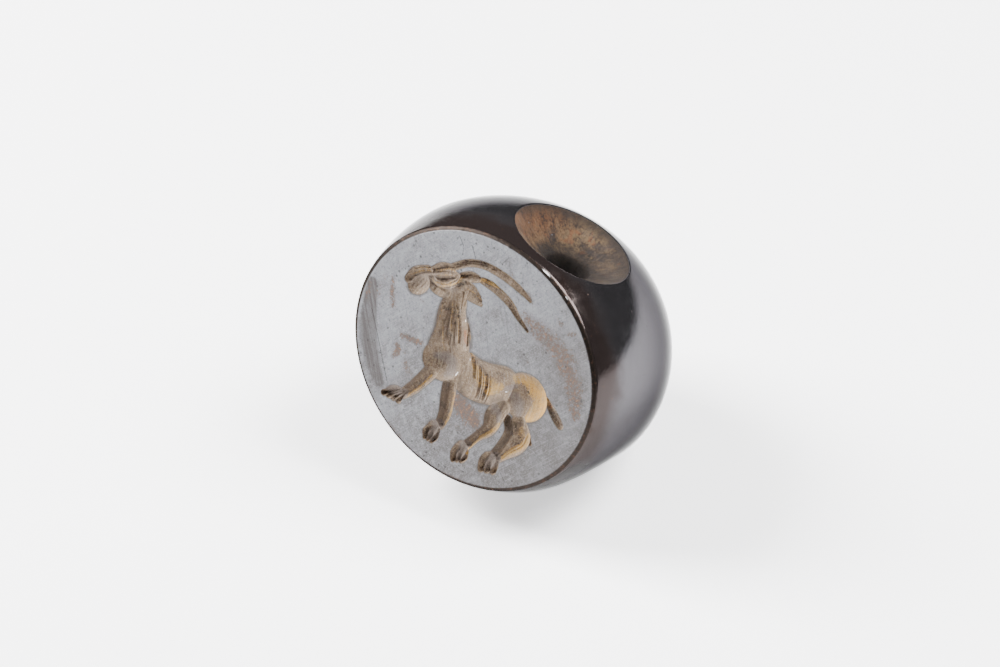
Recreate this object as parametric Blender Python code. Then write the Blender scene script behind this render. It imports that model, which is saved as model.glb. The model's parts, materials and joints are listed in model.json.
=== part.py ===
"""A dome-shaped stamp seal of dark, heavy stone, lying on the side of its dome.

The stone is an egg-like dome cut off by a flat oval sealing face. A wide-mouthed bore
for a cord runs through it, level with the face, and a standing goat with long
swept-back horns is sunk into the face. The whole seal is one solid.

The stone is modelled in the seal's own frame and then laid down. In that frame the
middle of the sealing face is the origin, X runs across the face, Y runs into the
stone and Z runs along the bore, which is upwards for the goat.
"""

import math

import bmesh
import bpy
import numpy as np
from mathutils import Matrix, Vector

MM = 0.001

# The dome is half of an egg with three different radii, and a slice beyond it
HALF_WIDTH = 9.62 * MM        # across the bore, at the widest section
HALF_HEIGHT = 8.58 * MM       # along the bore, at the widest section
CROWN_REACH = 11.00 * MM      # from the widest section to the crown
FACE_TO_WIDEST = 4.73 * MM    # from the sealing face to the widest section
EDGE_WEAR = 0.14 * MM         # rounding worn onto the edge of the face

# Where the hand-shaped dome is flatter or fuller than an egg: a direction from its
# middle, how far the side stands out or in there, and how wide the place is in degrees
FLAT_SIDE = ((0.870, 0.056, -0.488), -0.42 * MM, 17.0)
FULL_SIDE = ((-0.900, 0.250, 0.337), 0.24 * MM, 24.0)

# The hole was drilled from both ends, so it is narrowest in the middle, and each end
# opens into a wide dished mouth
BORE_BEHIND_FACE = 4.85 * MM  # from the sealing face to the mouths' axis
BORE_SIDESTEP = 0.12 * MM     # the mouths' axis lies this far beside the middle
HOLE_SIDESTEP = 0.45 * MM     # the hole lies this far beside the mouths' axis
THROAT_RADIUS = 1.05 * MM     # the hole at its middle
HOLE_RADIUS = 1.40 * MM       # the hole where it opens into a mouth
MOUTH_RADIUS = 3.95 * MM
MOUTH_DEPTH = 1.75 * MM       # from a mouth's rim to the bottom of its dish
MOUTH_SLOPE = 1.7             # 1 is a straight cone and 2 a round bowl

# How the stone lies
LEAN_BACK = 21.0              # degrees that the face leans back
ROLL = 17.8                   # degrees that the bore leans sideways
REST_FLAT_DEPTH = 0.32 * MM   # worn off where the stone rests, so that it can't roll

# The goat, drawn at its own size and then fitted between the sides of the face
DRAWN_LENGTH = 13.65          # drawing units from the lips to the tip of the tail
SIDE_MARGIN = 1.87 * MM       # from the goat's ends to the edge of the face
CARVING_CELL = 0.18 * MM      # fineness of the carved surface
CARVING_LIFT = 0.10 * MM      # how far the carving tool's shape stands off the face
TOE_WIDTHS = (0.58, 0.46, 0.42)  # half widths down a toe, as shares of the toes' spacing
TOE_DEPTH = 0.44              # in drawing units

# Fineness of the turned surfaces
DOME_SEGMENTS = 56
DOME_RINGS = 18
BORE_SEGMENTS = 36
MOUTH_RINGS = 6
STONE_COLOUR = (0.085, 0.066, 0.064, 1.0)


def face_share():
    """Size of the sealing face as a share of the widest section."""
    return math.sqrt(1.0 - (FACE_TO_WIDEST / CROWN_REACH) ** 2)


def drawing_unit():
    """Length of one drawing unit of the goat on the stone."""
    return 2.0 * (HALF_WIDTH * face_share() - SIDE_MARGIN) / DRAWN_LENGTH


def clear_scene():
    """Remove every object, mesh and material."""
    for item in list(bpy.data.objects):
        bpy.data.objects.remove(item, do_unlink=True)
    for item in list(bpy.data.meshes):
        bpy.data.meshes.remove(item)
    for item in list(bpy.data.materials):
        bpy.data.materials.remove(item)


def new_object(name, form):
    """Turn a bmesh into a linked object, with its faces pointing out."""
    bmesh.ops.recalc_face_normals(form, faces=form.faces)
    mesh = bpy.data.meshes.new(name)
    form.to_mesh(mesh)
    form.free()
    made = bpy.data.objects.new(name, mesh)
    bpy.context.scene.collection.objects.link(made)
    return made


def turned(profile, segments):
    """Spin a profile of (radius, height) points about Z into a closed form.

    The profile starts and ends on the axis or at a flat end, which is filled.
    """
    form = bmesh.new()
    points = [form.verts.new((radius, 0.0, height)) for radius, height in profile]
    edges = [form.edges.new(pair) for pair in zip(points, points[1:])]
    bmesh.ops.spin(
        form,
        geom=points + edges,
        cent=(0.0, 0.0, 0.0),
        axis=(0.0, 0.0, 1.0),
        angle=math.tau,
        steps=segments,
        use_merge=True,
    )
    bmesh.ops.remove_doubles(form, verts=form.verts, dist=0.002 * MM)
    open_edges = [edge for edge in form.edges if edge.is_boundary]
    if open_edges:
        bmesh.ops.holes_fill(form, edges=open_edges, sides=0)
    return form


def dome_profile():
    """Outline of a dome of radius 1, from the edge of the face to the crown."""
    wear = EDGE_WEAR / HALF_WIDTH
    start = math.asin(FACE_TO_WIDEST / CROWN_REACH)
    first = start - EDGE_WEAR / CROWN_REACH
    profile = [(face_share() - wear, 0.0)]
    for ring in range(DOME_RINGS + 1):
        angle = -first + (first + math.pi / 2.0) * ring / DOME_RINGS
        reach = FACE_TO_WIDEST + CROWN_REACH * math.sin(angle)
        profile.append((max(math.cos(angle), 0.0), reach))
    profile[-1] = (0.0, FACE_TO_WIDEST + CROWN_REACH)
    return profile


def shape_side(form, direction, height, spread):
    """Move a side of the dome out or in, level with the face, and fade it out around."""
    towards = Vector(direction).normalized()
    push = Vector((towards.x, 0.0, towards.z)).normalized() * height
    fade = 1.0 - math.cos(math.radians(spread))
    for vert in form.verts:
        x, y, z = vert.co
        way = Vector((x / HALF_WIDTH, (y - FACE_TO_WIDEST) / CROWN_REACH, z / HALF_HEIGHT))
        near = math.exp((way.normalized().dot(towards) - 1.0) / fade)
        behind_face = min(y / FACE_TO_WIDEST, 1.0)
        vert.co += push * near * behind_face


def make_dome():
    """The uncut stone: the face at Y = 0 and the crown towards +Y."""
    form = turned(dome_profile(), DOME_SEGMENTS)
    to_oval = Matrix.Diagonal((HALF_WIDTH, HALF_HEIGHT, 1.0, 1.0))
    z_to_y = Matrix.Rotation(-math.pi / 2.0, 4, "X")
    bmesh.ops.transform(form, matrix=z_to_y @ to_oval, verts=form.verts)
    for side in (FLAT_SIDE, FULL_SIDE):
        shape_side(form, *side)
    return new_object("seal_stone", form)


def dome_height(x, y):
    """Half height of the dome at a place across the bore."""
    level = 1.0 - (x / HALF_WIDTH) ** 2 - ((y - FACE_TO_WIDEST) / CROWN_REACH) ** 2
    return HALF_HEIGHT * math.sqrt(max(level, 0.0))


def mouth_height(radius):
    """Mean distance from the middle of the bore to the rim of a mouth of this radius."""
    heights = []
    for across, behind in ((1, 0), (-1, 0), (0, 1), (0, -1)):
        place = (BORE_SIDESTEP + across * radius, BORE_BEHIND_FACE + behind * radius)
        heights.append(dome_height(*place))
    return sum(heights) / len(heights)


def mouth_dish(radius):
    """Depth of a mouth's dish below its rim, at a distance from the mouth's axis."""
    return MOUTH_DEPTH * (1.0 - (radius / MOUTH_RADIUS) ** MOUTH_SLOPE)


def place_on_bore(form, sidestep):
    """Move a form turned about Z onto the bore, some way beside the mouths' axis."""
    place = Matrix.Translation((BORE_SIDESTEP + sidestep, BORE_BEHIND_FACE, 0.0))
    bmesh.ops.transform(form, matrix=place, verts=form.verts)


def make_mouth_cutter(name, side):
    """The dished mouth at the bore's upper end, with side 1, or its lower end, with -1."""
    rim = mouth_height(MOUTH_RADIUS)
    profile = []
    for ring in range(MOUTH_RINGS + 1):
        radius = MOUTH_RADIUS * ring / MOUTH_RINGS
        profile.append((radius, side * (rim - mouth_dish(radius))))
    outside = 1.25 * MOUTH_RADIUS
    profile.append((outside, side * (rim - mouth_dish(outside))))
    profile.append((outside, side * 2.0 * HALF_HEIGHT))
    form = turned(profile, BORE_SEGMENTS)
    place_on_bore(form, 0.0)
    return new_object(name, form)


def make_hole_cutter():
    """The drilled hole, which narrows from both mouths to its throat."""
    opening = mouth_height(MOUTH_RADIUS) - mouth_dish(HOLE_RADIUS)
    taper = (HOLE_RADIUS - THROAT_RADIUS) / opening
    clear = 2.0 * HALF_HEIGHT
    end = THROAT_RADIUS + taper * clear
    form = turned([(end, -clear), (THROAT_RADIUS, 0.0), (end, clear)], BORE_SEGMENTS)
    place_on_bore(form, HOLE_SIDESTEP)
    return new_object("hole_cutter", form)


def along(points, share):
    """Point at a share of the way along a smooth curve through the points.

    Each point is a row of numbers, and all of them are carried along the curve.
    """
    points = np.asarray(points, dtype=float)
    spans = len(points) - 1
    span = min(int(share * spans), spans - 1)
    t = share * spans - span
    before = points[max(span - 1, 0)]
    start, end = points[span], points[span + 1]
    after = points[min(span + 2, spans)]
    return 0.5 * (
        2.0 * start
        + (end - before) * t
        + (2.0 * before - 5.0 * start + 4.0 * end - after) * t ** 2
        + (3.0 * start - before - 3.0 * end + after) * t ** 3
    )


class Carving:
    """The goat as a depth below the sealing face, in drawing units.

    Every cut is a round-bottomed hollow, as a drill or a small wheel leaves it.
    The depth at a point is the deepest of the cuts there, and it is negative
    outside them all.
    """

    def __init__(self):
        self.cuts = []

    def bowl(self, x, z, half_length, half_width, turn, depth):
        """An oval hollow whose long side is turned up from X by some degrees."""
        self.cuts.append(("bowl", (x, z, half_length, half_width, math.radians(turn)), depth))

    def groove(self, points, depth, steps=4):
        """A hollow along a curve through (x, z, half width) points."""
        count = steps * (len(points) - 1)
        path = [along(points, step / count) for step in range(count + 1)]
        self.cuts.append(("groove", path, depth))

    def strands(self, first, last, count, half_widths, depth, steps=4):
        """Grooves side by side, from one line of (x, z) points to another.

        The half widths go with the points and are shares of the strands' spacing.
        """
        for strand in range(count):
            share = strand / (count - 1)
            path = []
            for low, high, half_width in zip(first, last, half_widths):
                spacing = math.dist(low, high) / (count - 1)
                x = low[0] + (high[0] - low[0]) * share
                z = low[1] + (high[1] - low[1]) * share
                path.append((x, z, half_width * spacing))
            self.groove(path, depth, steps)

    def toes(self, first, last, count=3):
        """The split hoof of a foot: thin cuts close to each other."""
        self.strands(first, last, count, TOE_WIDTHS[:len(first)], TOE_DEPTH, steps=2)

    def depth(self, x, z):
        """Depth of the carving at arrays of places on the face."""
        deepest = np.full(x.shape, -1.0)
        for kind, form, depth in self.cuts:
            if kind == "bowl":
                share = self.bowl_share(x, z, *form)
            else:
                share = self.groove_share(x, z, form)
            inside = np.clip(1.0 - share ** 2, 0.0, 1.0)
            profile = np.where(share < 1.0, inside ** 0.75, 1.0 - share ** 2)
            deepest = np.maximum(deepest, depth * profile)
        return deepest

    @staticmethod
    def bowl_share(x, z, centre_x, centre_z, half_length, half_width, turn):
        """Distance from a bowl's middle as a share of its outline's."""
        across = x - centre_x
        up = z - centre_z
        long_way = across * math.cos(turn) + up * math.sin(turn)
        short_way = up * math.cos(turn) - across * math.sin(turn)
        return np.hypot(long_way / half_length, short_way / half_width)

    @staticmethod
    def groove_share(x, z, path):
        """Distance from a groove's middle line as a share of its half width."""
        nearest = np.full(x.shape, 100.0)
        for (x0, z0, w0), (x1, z1, w1) in zip(path, path[1:]):
            length = max((x1 - x0) ** 2 + (z1 - z0) ** 2, 1e-9)
            t = np.clip(((x - x0) * (x1 - x0) + (z - z0) * (z1 - z0)) / length, 0.0, 1.0)
            away = np.hypot(x - x0 - t * (x1 - x0), z - z0 - t * (z1 - z0))
            nearest = np.minimum(nearest, away / (w0 + t * (w1 - w0)))
        return nearest


def carve_head(goat):
    """Muzzle, brow, cheek, ear and the two long horns."""
    goat.groove([(-6.02, 1.60, 0.44), (-5.75, 2.20, 0.45), (-5.15, 2.80, 0.38)], 0.42)
    goat.bowl(-5.42, 1.62, 0.80, 0.58, 65, 0.52)
    goat.groove([(-5.00, 3.00, 0.30), (-4.60, 3.52, 0.38), (-4.05, 3.90, 0.30)], 0.40)
    goat.bowl(-4.00, 3.02, 1.12, 0.60, 50, 0.56)
    goat.groove([(-4.95, 2.45, 0.32), (-4.40, 2.15, 0.30), (-3.60, 2.35, 0.40)], 0.38)
    goat.groove([(-2.90, 3.68, 0.28), (-2.20, 3.70, 0.27), (-1.45, 3.45, 0.14)], 0.34)
    goat.groove([(-2.75, 3.18, 0.30), (-2.10, 3.24, 0.30), (-1.30, 3.25, 0.13)], 0.40)
    outer_horn = [
        (-4.00, 4.10, 0.24), (-3.30, 4.92, 0.24), (-2.30, 5.48, 0.24),
        (-1.00, 5.73, 0.25), (0.40, 5.73, 0.21), (1.35, 5.55, 0.09),
    ]
    inner_horn = [
        (-3.25, 4.05, 0.24), (-2.40, 4.55, 0.27), (-1.00, 4.72, 0.27),
        (0.20, 4.58, 0.27), (1.20, 4.18, 0.18), (2.15, 3.85, 0.08),
    ]
    for horn in (outer_horn, inner_horn):
        goat.groove(horn, 0.36)


def carve_neck(goat):
    """The neck: strands of mane side by side between its throat and its nape."""
    throat = [(-3.52, 1.95), (-3.28, 0.60), (-3.05, -0.90), (-2.45, -2.00)]
    nape = [(-1.98, 2.60), (-1.25, 1.45), (-0.52, 0.45), (0.05, -0.70)]
    goat.groove([(-3.05, 3.45, 0.45), (-2.75, 2.60, 0.60), (-2.60, 1.80, 0.70)], 0.36)
    goat.strands(throat, nape, 6, (0.80, 0.80, 0.80, 0.80), 0.56)


def carve_body(goat, ribs=3):
    """Chest, barrel, ribs, rump and tail."""
    goat.bowl(-1.62, -1.38, 1.48, 1.28, 20, 0.86)
    barrel = [(-0.50, -0.95, 1.25), (0.60, -1.00, 1.35), (1.60, -0.65, 1.32), (2.50, -0.05, 1.20)]
    goat.groove(barrel, 0.60)
    goat.bowl(4.07, 0.22, 1.58, 1.50, 0, 0.92)
    for rib in range(ribs):
        back = 0.50 * rib
        up = 0.15 * rib
        top = (0.10 + back, -0.05 + up, 0.20)
        middle = (0.38 + back, -0.75 + up, 0.22)
        bottom = (0.85 + back, -1.60 + up, 0.14)
        goat.groove([top, middle, bottom], 0.74)
    goat.groove([(5.35, 1.08, 0.14), (6.10, 0.68, 0.26), (6.60, 0.42, 0.27), (6.95, 0.24, 0.22)], 0.32)


def carve_forelegs(goat):
    """Two forelegs set forward, each with a split hoof."""
    front = [(-1.98, -2.50, 0.48), (-2.20, -3.30, 0.45), (-2.45, -4.10, 0.42), (-2.85, -4.95, 0.33)]
    goat.groove(front, 0.44)
    goat.bowl(-3.22, -5.18, 0.62, 0.40, 40, 0.34)
    goat.toes([(-3.20, -4.85), (-4.05, -5.75)], [(-2.66, -5.10), (-2.88, -5.62)], count=4)
    back = [(-0.45, -2.50, 0.50), (-0.15, -3.30, 0.50), (0.14, -4.10, 0.44), (0.22, -4.95, 0.34)]
    goat.groove(back, 0.44)
    goat.bowl(0.05, -5.40, 0.56, 0.44, 88, 0.34)
    goat.toes(
        [(-0.12, -5.00), (-0.42, -5.75), (-0.30, -6.38)],
        [(0.40, -5.00), (0.42, -5.70), (0.32, -6.32)],
    )


def carve_hind_legs(goat):
    """Two hind legs bent at the hock, each with a split hoof."""
    near = [
        (3.20, -1.25, 0.50), (3.00, -2.10, 0.64), (3.10, -3.00, 0.45),
        (2.72, -3.90, 0.31), (2.40, -4.80, 0.32),
    ]
    goat.groove(near, 0.46)
    goat.bowl(2.24, -5.30, 0.62, 0.46, 84, 0.34)
    goat.toes(
        [(1.90, -4.90), (1.78, -5.60), (2.02, -6.32)],
        [(2.62, -4.90), (2.72, -5.45), (2.58, -6.00)],
    )
    thigh = [
        (4.55, -1.35, 0.50), (5.18, -2.00, 0.60), (5.15, -2.75, 0.55),
        (4.80, -3.60, 0.38), (4.48, -4.40, 0.26),
    ]
    goat.groove(thigh, 0.44)
    shin = [(3.80, -1.65, 0.28), (4.30, -2.30, 0.30), (4.32, -3.30, 0.28), (4.20, -4.20, 0.28)]
    goat.groove(shin, 0.46)
    goat.groove([(5.55, -1.65, 0.14), (5.90, -2.02, 0.10)], 0.24, steps=1)
    goat.toes(
        [(3.84, -4.10), (3.68, -4.85), (3.94, -5.60)],
        [(4.55, -4.10), (4.66, -4.65), (4.74, -5.22)],
    )


def make_goat():
    """All the cuts of the goat."""
    goat = Carving()
    carve_head(goat)
    carve_neck(goat)
    carve_body(goat)
    carve_forelegs(goat)
    carve_hind_legs(goat)
    return goat


def make_carving_cutter():
    """The goat's own impression: a slab whose far side bulges where the face is cut."""
    unit = drawing_unit()
    left, right = -6.8 * unit, 7.4 * unit
    bottom, top = -6.7 * unit, 6.3 * unit
    columns = round((right - left) / CARVING_CELL)
    rows = round((top - bottom) / CARVING_CELL)
    x, z = np.meshgrid(np.linspace(left, right, columns + 1), np.linspace(bottom, top, rows + 1))
    y = np.zeros(x.shape)
    goat = make_goat()
    shifts = [share * CARVING_CELL for share in (-0.4, 0.0, 0.4)]
    for across in shifts:
        for up in shifts:
            depth = goat.depth((x + across) / unit, (z + up) / unit) * unit
            y += np.maximum(depth, -CARVING_LIFT) / len(shifts) ** 2
    form = bmesh.new()
    places = np.stack([x, y, z], axis=-1)
    grid = [[form.verts.new(place) for place in row] for row in places]
    for row, next_row in zip(grid, grid[1:]):
        for a, b, c, d in zip(row, row[1:], next_row[1:], next_row):
            if abs(a.co.y - c.co.y) > abs(b.co.y - d.co.y):
                a, b, c, d = b, c, d, a
            form.faces.new((a, b, c))
            form.faces.new((a, c, d))
    rim = [edge for edge in form.edges if edge.is_boundary]
    grown = bmesh.ops.extrude_edge_only(form, edges=rim)["geom"]
    raised = [item for item in grown if isinstance(item, bmesh.types.BMVert)]
    for vert in raised:
        vert.co.y = -10.0 * CARVING_LIFT
    bmesh.ops.holes_fill(form, edges=[edge for edge in form.edges if edge.is_boundary], sides=0)
    return new_object("carving_cutter", form)


def lying_pose():
    """Rotation from the seal's own frame to the way it lies."""
    lean = Matrix.Rotation(math.radians(-LEAN_BACK), 4, "X")
    return lean @ Matrix.Rotation(math.radians(ROLL), 4, "Y")


def make_rest_cutter(stone):
    """A block that takes the resting spot off the lowest side of the dome."""
    down = lying_pose().to_3x3().transposed() @ Vector((0.0, 0.0, -1.0))
    radii = Vector((HALF_WIDTH, CROWN_REACH, HALF_HEIGHT))
    reach = math.sqrt(sum((radii[i] * down[i]) ** 2 for i in range(3)))
    touch = Vector([radii[i] ** 2 * down[i] / reach for i in range(3)])
    touch.y += FACE_TO_WIDEST
    side = 2.0 * HALF_WIDTH
    form = bmesh.new()
    bmesh.ops.create_cube(form, size=side)
    turn = lying_pose().to_3x3().transposed().to_4x4()
    place = Matrix.Translation(touch + down * (side / 2.0 - REST_FLAT_DEPTH)) @ turn
    bmesh.ops.transform(form, matrix=place, verts=form.verts)
    return new_object("rest_cutter", form)


def cut(target, cutter):
    """Take a cutter's shape out of the target with a Boolean modifier."""
    cutter.hide_render = True
    cutter.display_type = "WIRE"
    cutter.parent = target
    modifier = target.modifiers.new(cutter.name, "BOOLEAN")
    modifier.operation = "DIFFERENCE"
    modifier.solver = "EXACT"
    modifier.object = cutter


def lay_down(stone):
    """Turn the stone as it lies, with the middle of its box's underside at the origin."""
    stone.matrix_world = lying_pose()
    bpy.context.view_layer.update()
    seen = stone.evaluated_get(bpy.context.evaluated_depsgraph_get())
    corners = [seen.matrix_world @ vert.co for vert in seen.data.vertices]
    low = Vector([min(corner[i] for corner in corners) for i in range(3)])
    high = Vector([max(corner[i] for corner in corners) for i in range(3)])
    shift = Vector(((low.x + high.x) / 2.0, (low.y + high.y) / 2.0, low.z))
    stone.matrix_world = Matrix.Translation(-shift) @ lying_pose()


def stone_material():
    """Polished dark iron-rich stone."""
    made = bpy.data.materials.new("dark_stone")
    made.use_nodes = True
    shader = made.node_tree.nodes["Principled BSDF"]
    shader.inputs["Base Color"].default_value = STONE_COLOUR
    shader.inputs["Roughness"].default_value = 0.32
    shader.inputs["Metallic"].default_value = 0.25
    return made


def main():
    """Build the seal."""
    clear_scene()
    stone = make_dome()
    stone.data.materials.append(stone_material())
    cut(stone, make_mouth_cutter("upper_mouth_cutter", 1))
    cut(stone, make_mouth_cutter("lower_mouth_cutter", -1))
    cut(stone, make_hole_cutter())
    cut(stone, make_carving_cutter())
    cut(stone, make_rest_cutter(stone))
    stone.data.shade_smooth()
    stone.data.set_sharp_from_angle(angle=math.radians(35.0))
    lay_down(stone)


main()
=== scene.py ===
"""The looks of a dome-shaped stamp seal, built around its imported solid.

The seal is one dark, heavy, polished stone with a flat satin face. A standing goat with long
swept-back horns is cut into the face, and a wide-mouthed bore for a cord runs through the dome.
The stone is made as one closed net in its own frame, in millimetres, and then laid down as the
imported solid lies. In that frame the middle of the sealing face is the origin, X runs across the
face, Y runs into the stone and Z runs along the bore, which is upwards for the goat.
"""

import json
import logging
import math
from dataclasses import dataclass
from dataclasses import field
from enum import Enum

import bmesh
import bpy
import numpy as np
from mathutils import Matrix
from mathutils import Vector
from mathutils.geometry import delaunay_2d_cdt


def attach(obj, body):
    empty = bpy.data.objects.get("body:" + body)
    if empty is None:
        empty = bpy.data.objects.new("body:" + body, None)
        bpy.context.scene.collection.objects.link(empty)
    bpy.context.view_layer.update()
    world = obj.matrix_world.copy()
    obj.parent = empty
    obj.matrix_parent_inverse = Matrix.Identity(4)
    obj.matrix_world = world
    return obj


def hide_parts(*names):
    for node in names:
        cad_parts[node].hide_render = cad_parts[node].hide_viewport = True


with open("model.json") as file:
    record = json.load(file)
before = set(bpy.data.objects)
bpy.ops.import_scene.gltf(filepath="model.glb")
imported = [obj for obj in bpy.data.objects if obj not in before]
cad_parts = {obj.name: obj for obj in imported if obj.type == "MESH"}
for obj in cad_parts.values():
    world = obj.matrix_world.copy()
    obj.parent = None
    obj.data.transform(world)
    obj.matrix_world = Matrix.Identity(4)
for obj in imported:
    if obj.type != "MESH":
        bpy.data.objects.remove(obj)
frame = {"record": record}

MM = 0.001
PLACE_LAYER = "seal_place"
SHARP_ANGLE = 38.0
log = logging.getLogger("stamp_seal")

# Three numbers: a place, a direction, a colour, or a stroke's point as x, z and half width.
Triple = tuple[float, float, float]
Stroke = tuple[Triple, ...]


class Zone(Enum):
    """Numbers painted on the net's points, which the stone's finish and wear read."""

    CUT = "cut_depth"
    MOUTH = "mouth_crust"
    FACE = "face_ground"
    EDGE = "worn_edge"
    SOFT = "soft_edge"
    DOME = "on_dome"
    # Ochre earth, and painted light on lit walls and raised lines.
    OCHRE_AND_LIT = "ochre_earth_and_lit_walls"
    RUST = "rust_bloom"
    BARE = "bare_stone"
    WORN = "worn_stripe"
    # Painted glints: near-white highlights.
    GLINT = "painted_glint"
    # Painted shade on carved walls and partings that lie in shade.
    SHADE = "painted_shade"
    HALO = "dirt_beside_cuts"


class Wire:
    """A socket of a node tree that takes part in Python expressions."""

    def __init__(self, tree: "Tree", socket: bpy.types.NodeSocket) -> None:
        """Keep the tree that the socket is in.

        Args:
            tree: The tree that new nodes are added to.
            socket: The output socket that the expression reads.
        """
        self.tree = tree
        self.socket = socket

    @property
    def is_vector(self) -> bool:
        """Whether the socket carries three numbers."""
        return self.socket.type in ("VECTOR", "RGBA")

    def maths(self, operation: str, *others: object, swapped: bool = False) -> "Wire":
        """Add a Math or Vector Math node for an operation.

        Args:
            operation: The node's operation.
            others: The other values, as numbers or wires.
            swapped: Whether this wire comes after the first of the others.

        Returns:
            The result.
        """
        values = [self, *others]
        if swapped:
            values = [others[0], self, *others[1:]]
        vector = any(
            isinstance(value, (Vector, tuple)) or getattr(value, "is_vector", False) for value in values
        )
        kind = "ShaderNodeVectorMath" if vector else "ShaderNodeMath"
        return self.tree.node(kind, {"operation": operation}, dict(enumerate(values))).out()

    def __add__(self, other: object) -> "Wire":
        """Sum."""
        return self.maths("ADD", other)

    __radd__ = __add__

    def __sub__(self, other: object) -> "Wire":
        """Difference."""
        return self.maths("SUBTRACT", other)

    def __rsub__(self, other: object) -> "Wire":
        """Difference from a plain value."""
        return self.maths("SUBTRACT", other, swapped=True)

    def __mul__(self, other: object) -> "Wire":
        """Product."""
        return self.maths("MULTIPLY", other)

    __rmul__ = __mul__

    def __truediv__(self, other: object) -> "Wire":
        """Quotient."""
        return self.maths("DIVIDE", other)

    def __rtruediv__(self, other: object) -> "Wire":
        """Quotient of a plain value."""
        return self.maths("DIVIDE", other, swapped=True)

    def times(self, factor: object) -> "Wire":
        """Scale a vector by a number."""
        return self.tree.node(
            "ShaderNodeVectorMath", {"operation": "SCALE"}, {0: self, "Scale": factor}
        ).out()

    def dot(self, other: object) -> "Wire":
        """Dot product of two vectors."""
        return self.tree.node(
            "ShaderNodeVectorMath", {"operation": "DOT_PRODUCT"}, {0: self, 1: other}
        ).out("Value")

    def length(self) -> "Wire":
        """Length of a vector."""
        return self.tree.node("ShaderNodeVectorMath", {"operation": "LENGTH"}, {0: self}).out("Value")

    def at_least(self, other: object) -> "Wire":
        """The larger of two numbers."""
        return self.maths("MAXIMUM", other)

    def at_most(self, other: object) -> "Wire":
        """The smaller of two numbers."""
        return self.maths("MINIMUM", other)

    def parts(self) -> tuple["Wire", "Wire", "Wire"]:
        """The three numbers of a vector."""
        split = self.tree.node("ShaderNodeSeparateXYZ", {}, {0: self})
        return split.out("X"), split.out("Y"), split.out("Z")

    def step(self, start: float, end: float) -> "Wire":
        """A smooth step from 0 at the start to 1 at the end.

        Args:
            start: Where the step begins.
            end: Where it ends, which may be below the start.

        Returns:
            A number from 0 to 1.
        """
        low, high, before, after = (start, end, 0.0, 1.0) if start < end else (end, start, 1.0, 0.0)
        return self.tree.node(
            "ShaderNodeMapRange",
            {"interpolation_type": "SMOOTHSTEP"},
            {"Value": self, "From Min": low, "From Max": high, "To Min": before, "To Max": after},
        ).out("Result")


class MadeNode:
    """A node that was just added, whose outputs are read as wires."""

    def __init__(self, tree: "Tree", node: bpy.types.Node) -> None:
        """Keep the node and its tree."""
        self.tree = tree
        self.node = node

    def out(self, name: str | int = 0) -> Wire:
        """One output of the node, by name or number."""
        return Wire(self.tree, self.node.outputs[name])


class Tree:
    """A shader or geometry node tree that is built by expressions."""

    def __init__(self, node_tree: bpy.types.NodeTree) -> None:
        """Start from an empty tree."""
        self.tree = node_tree
        self.tree.nodes.clear()

    def node(self, kind: str, settings: dict[str, object], sockets: dict[object, object]) -> MadeNode:
        """Add a node.

        Args:
            kind: The node's type.
            settings: Its settings, set before its sockets.
            sockets: Values or wires of its input sockets, by name or number.

        Returns:
            The node.
        """
        made = self.tree.nodes.new(kind)
        for name, value in settings.items():
            setattr(made, name, value)
        for name, value in sockets.items():
            socket = made.inputs[name]
            if isinstance(value, Wire):
                self.tree.links.new(value.socket, socket)
            elif isinstance(value, (int, float)) and socket.type == "VECTOR":
                socket.default_value = (value, value, value)
            else:
                socket.default_value = value
        return MadeNode(self, made)

    def combine(self, x: object, y: object, z: object) -> Wire:
        """A vector from three numbers."""
        return self.node("ShaderNodeCombineXYZ", {}, {"X": x, "Y": y, "Z": z}).out()


@dataclass(frozen=True)
class Veil:
    """A colour that covers a share of a coat, from where a number starts to where it ends."""

    number: Wire
    start: float
    end: float
    share: float
    colour: Triple | Wire


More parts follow.
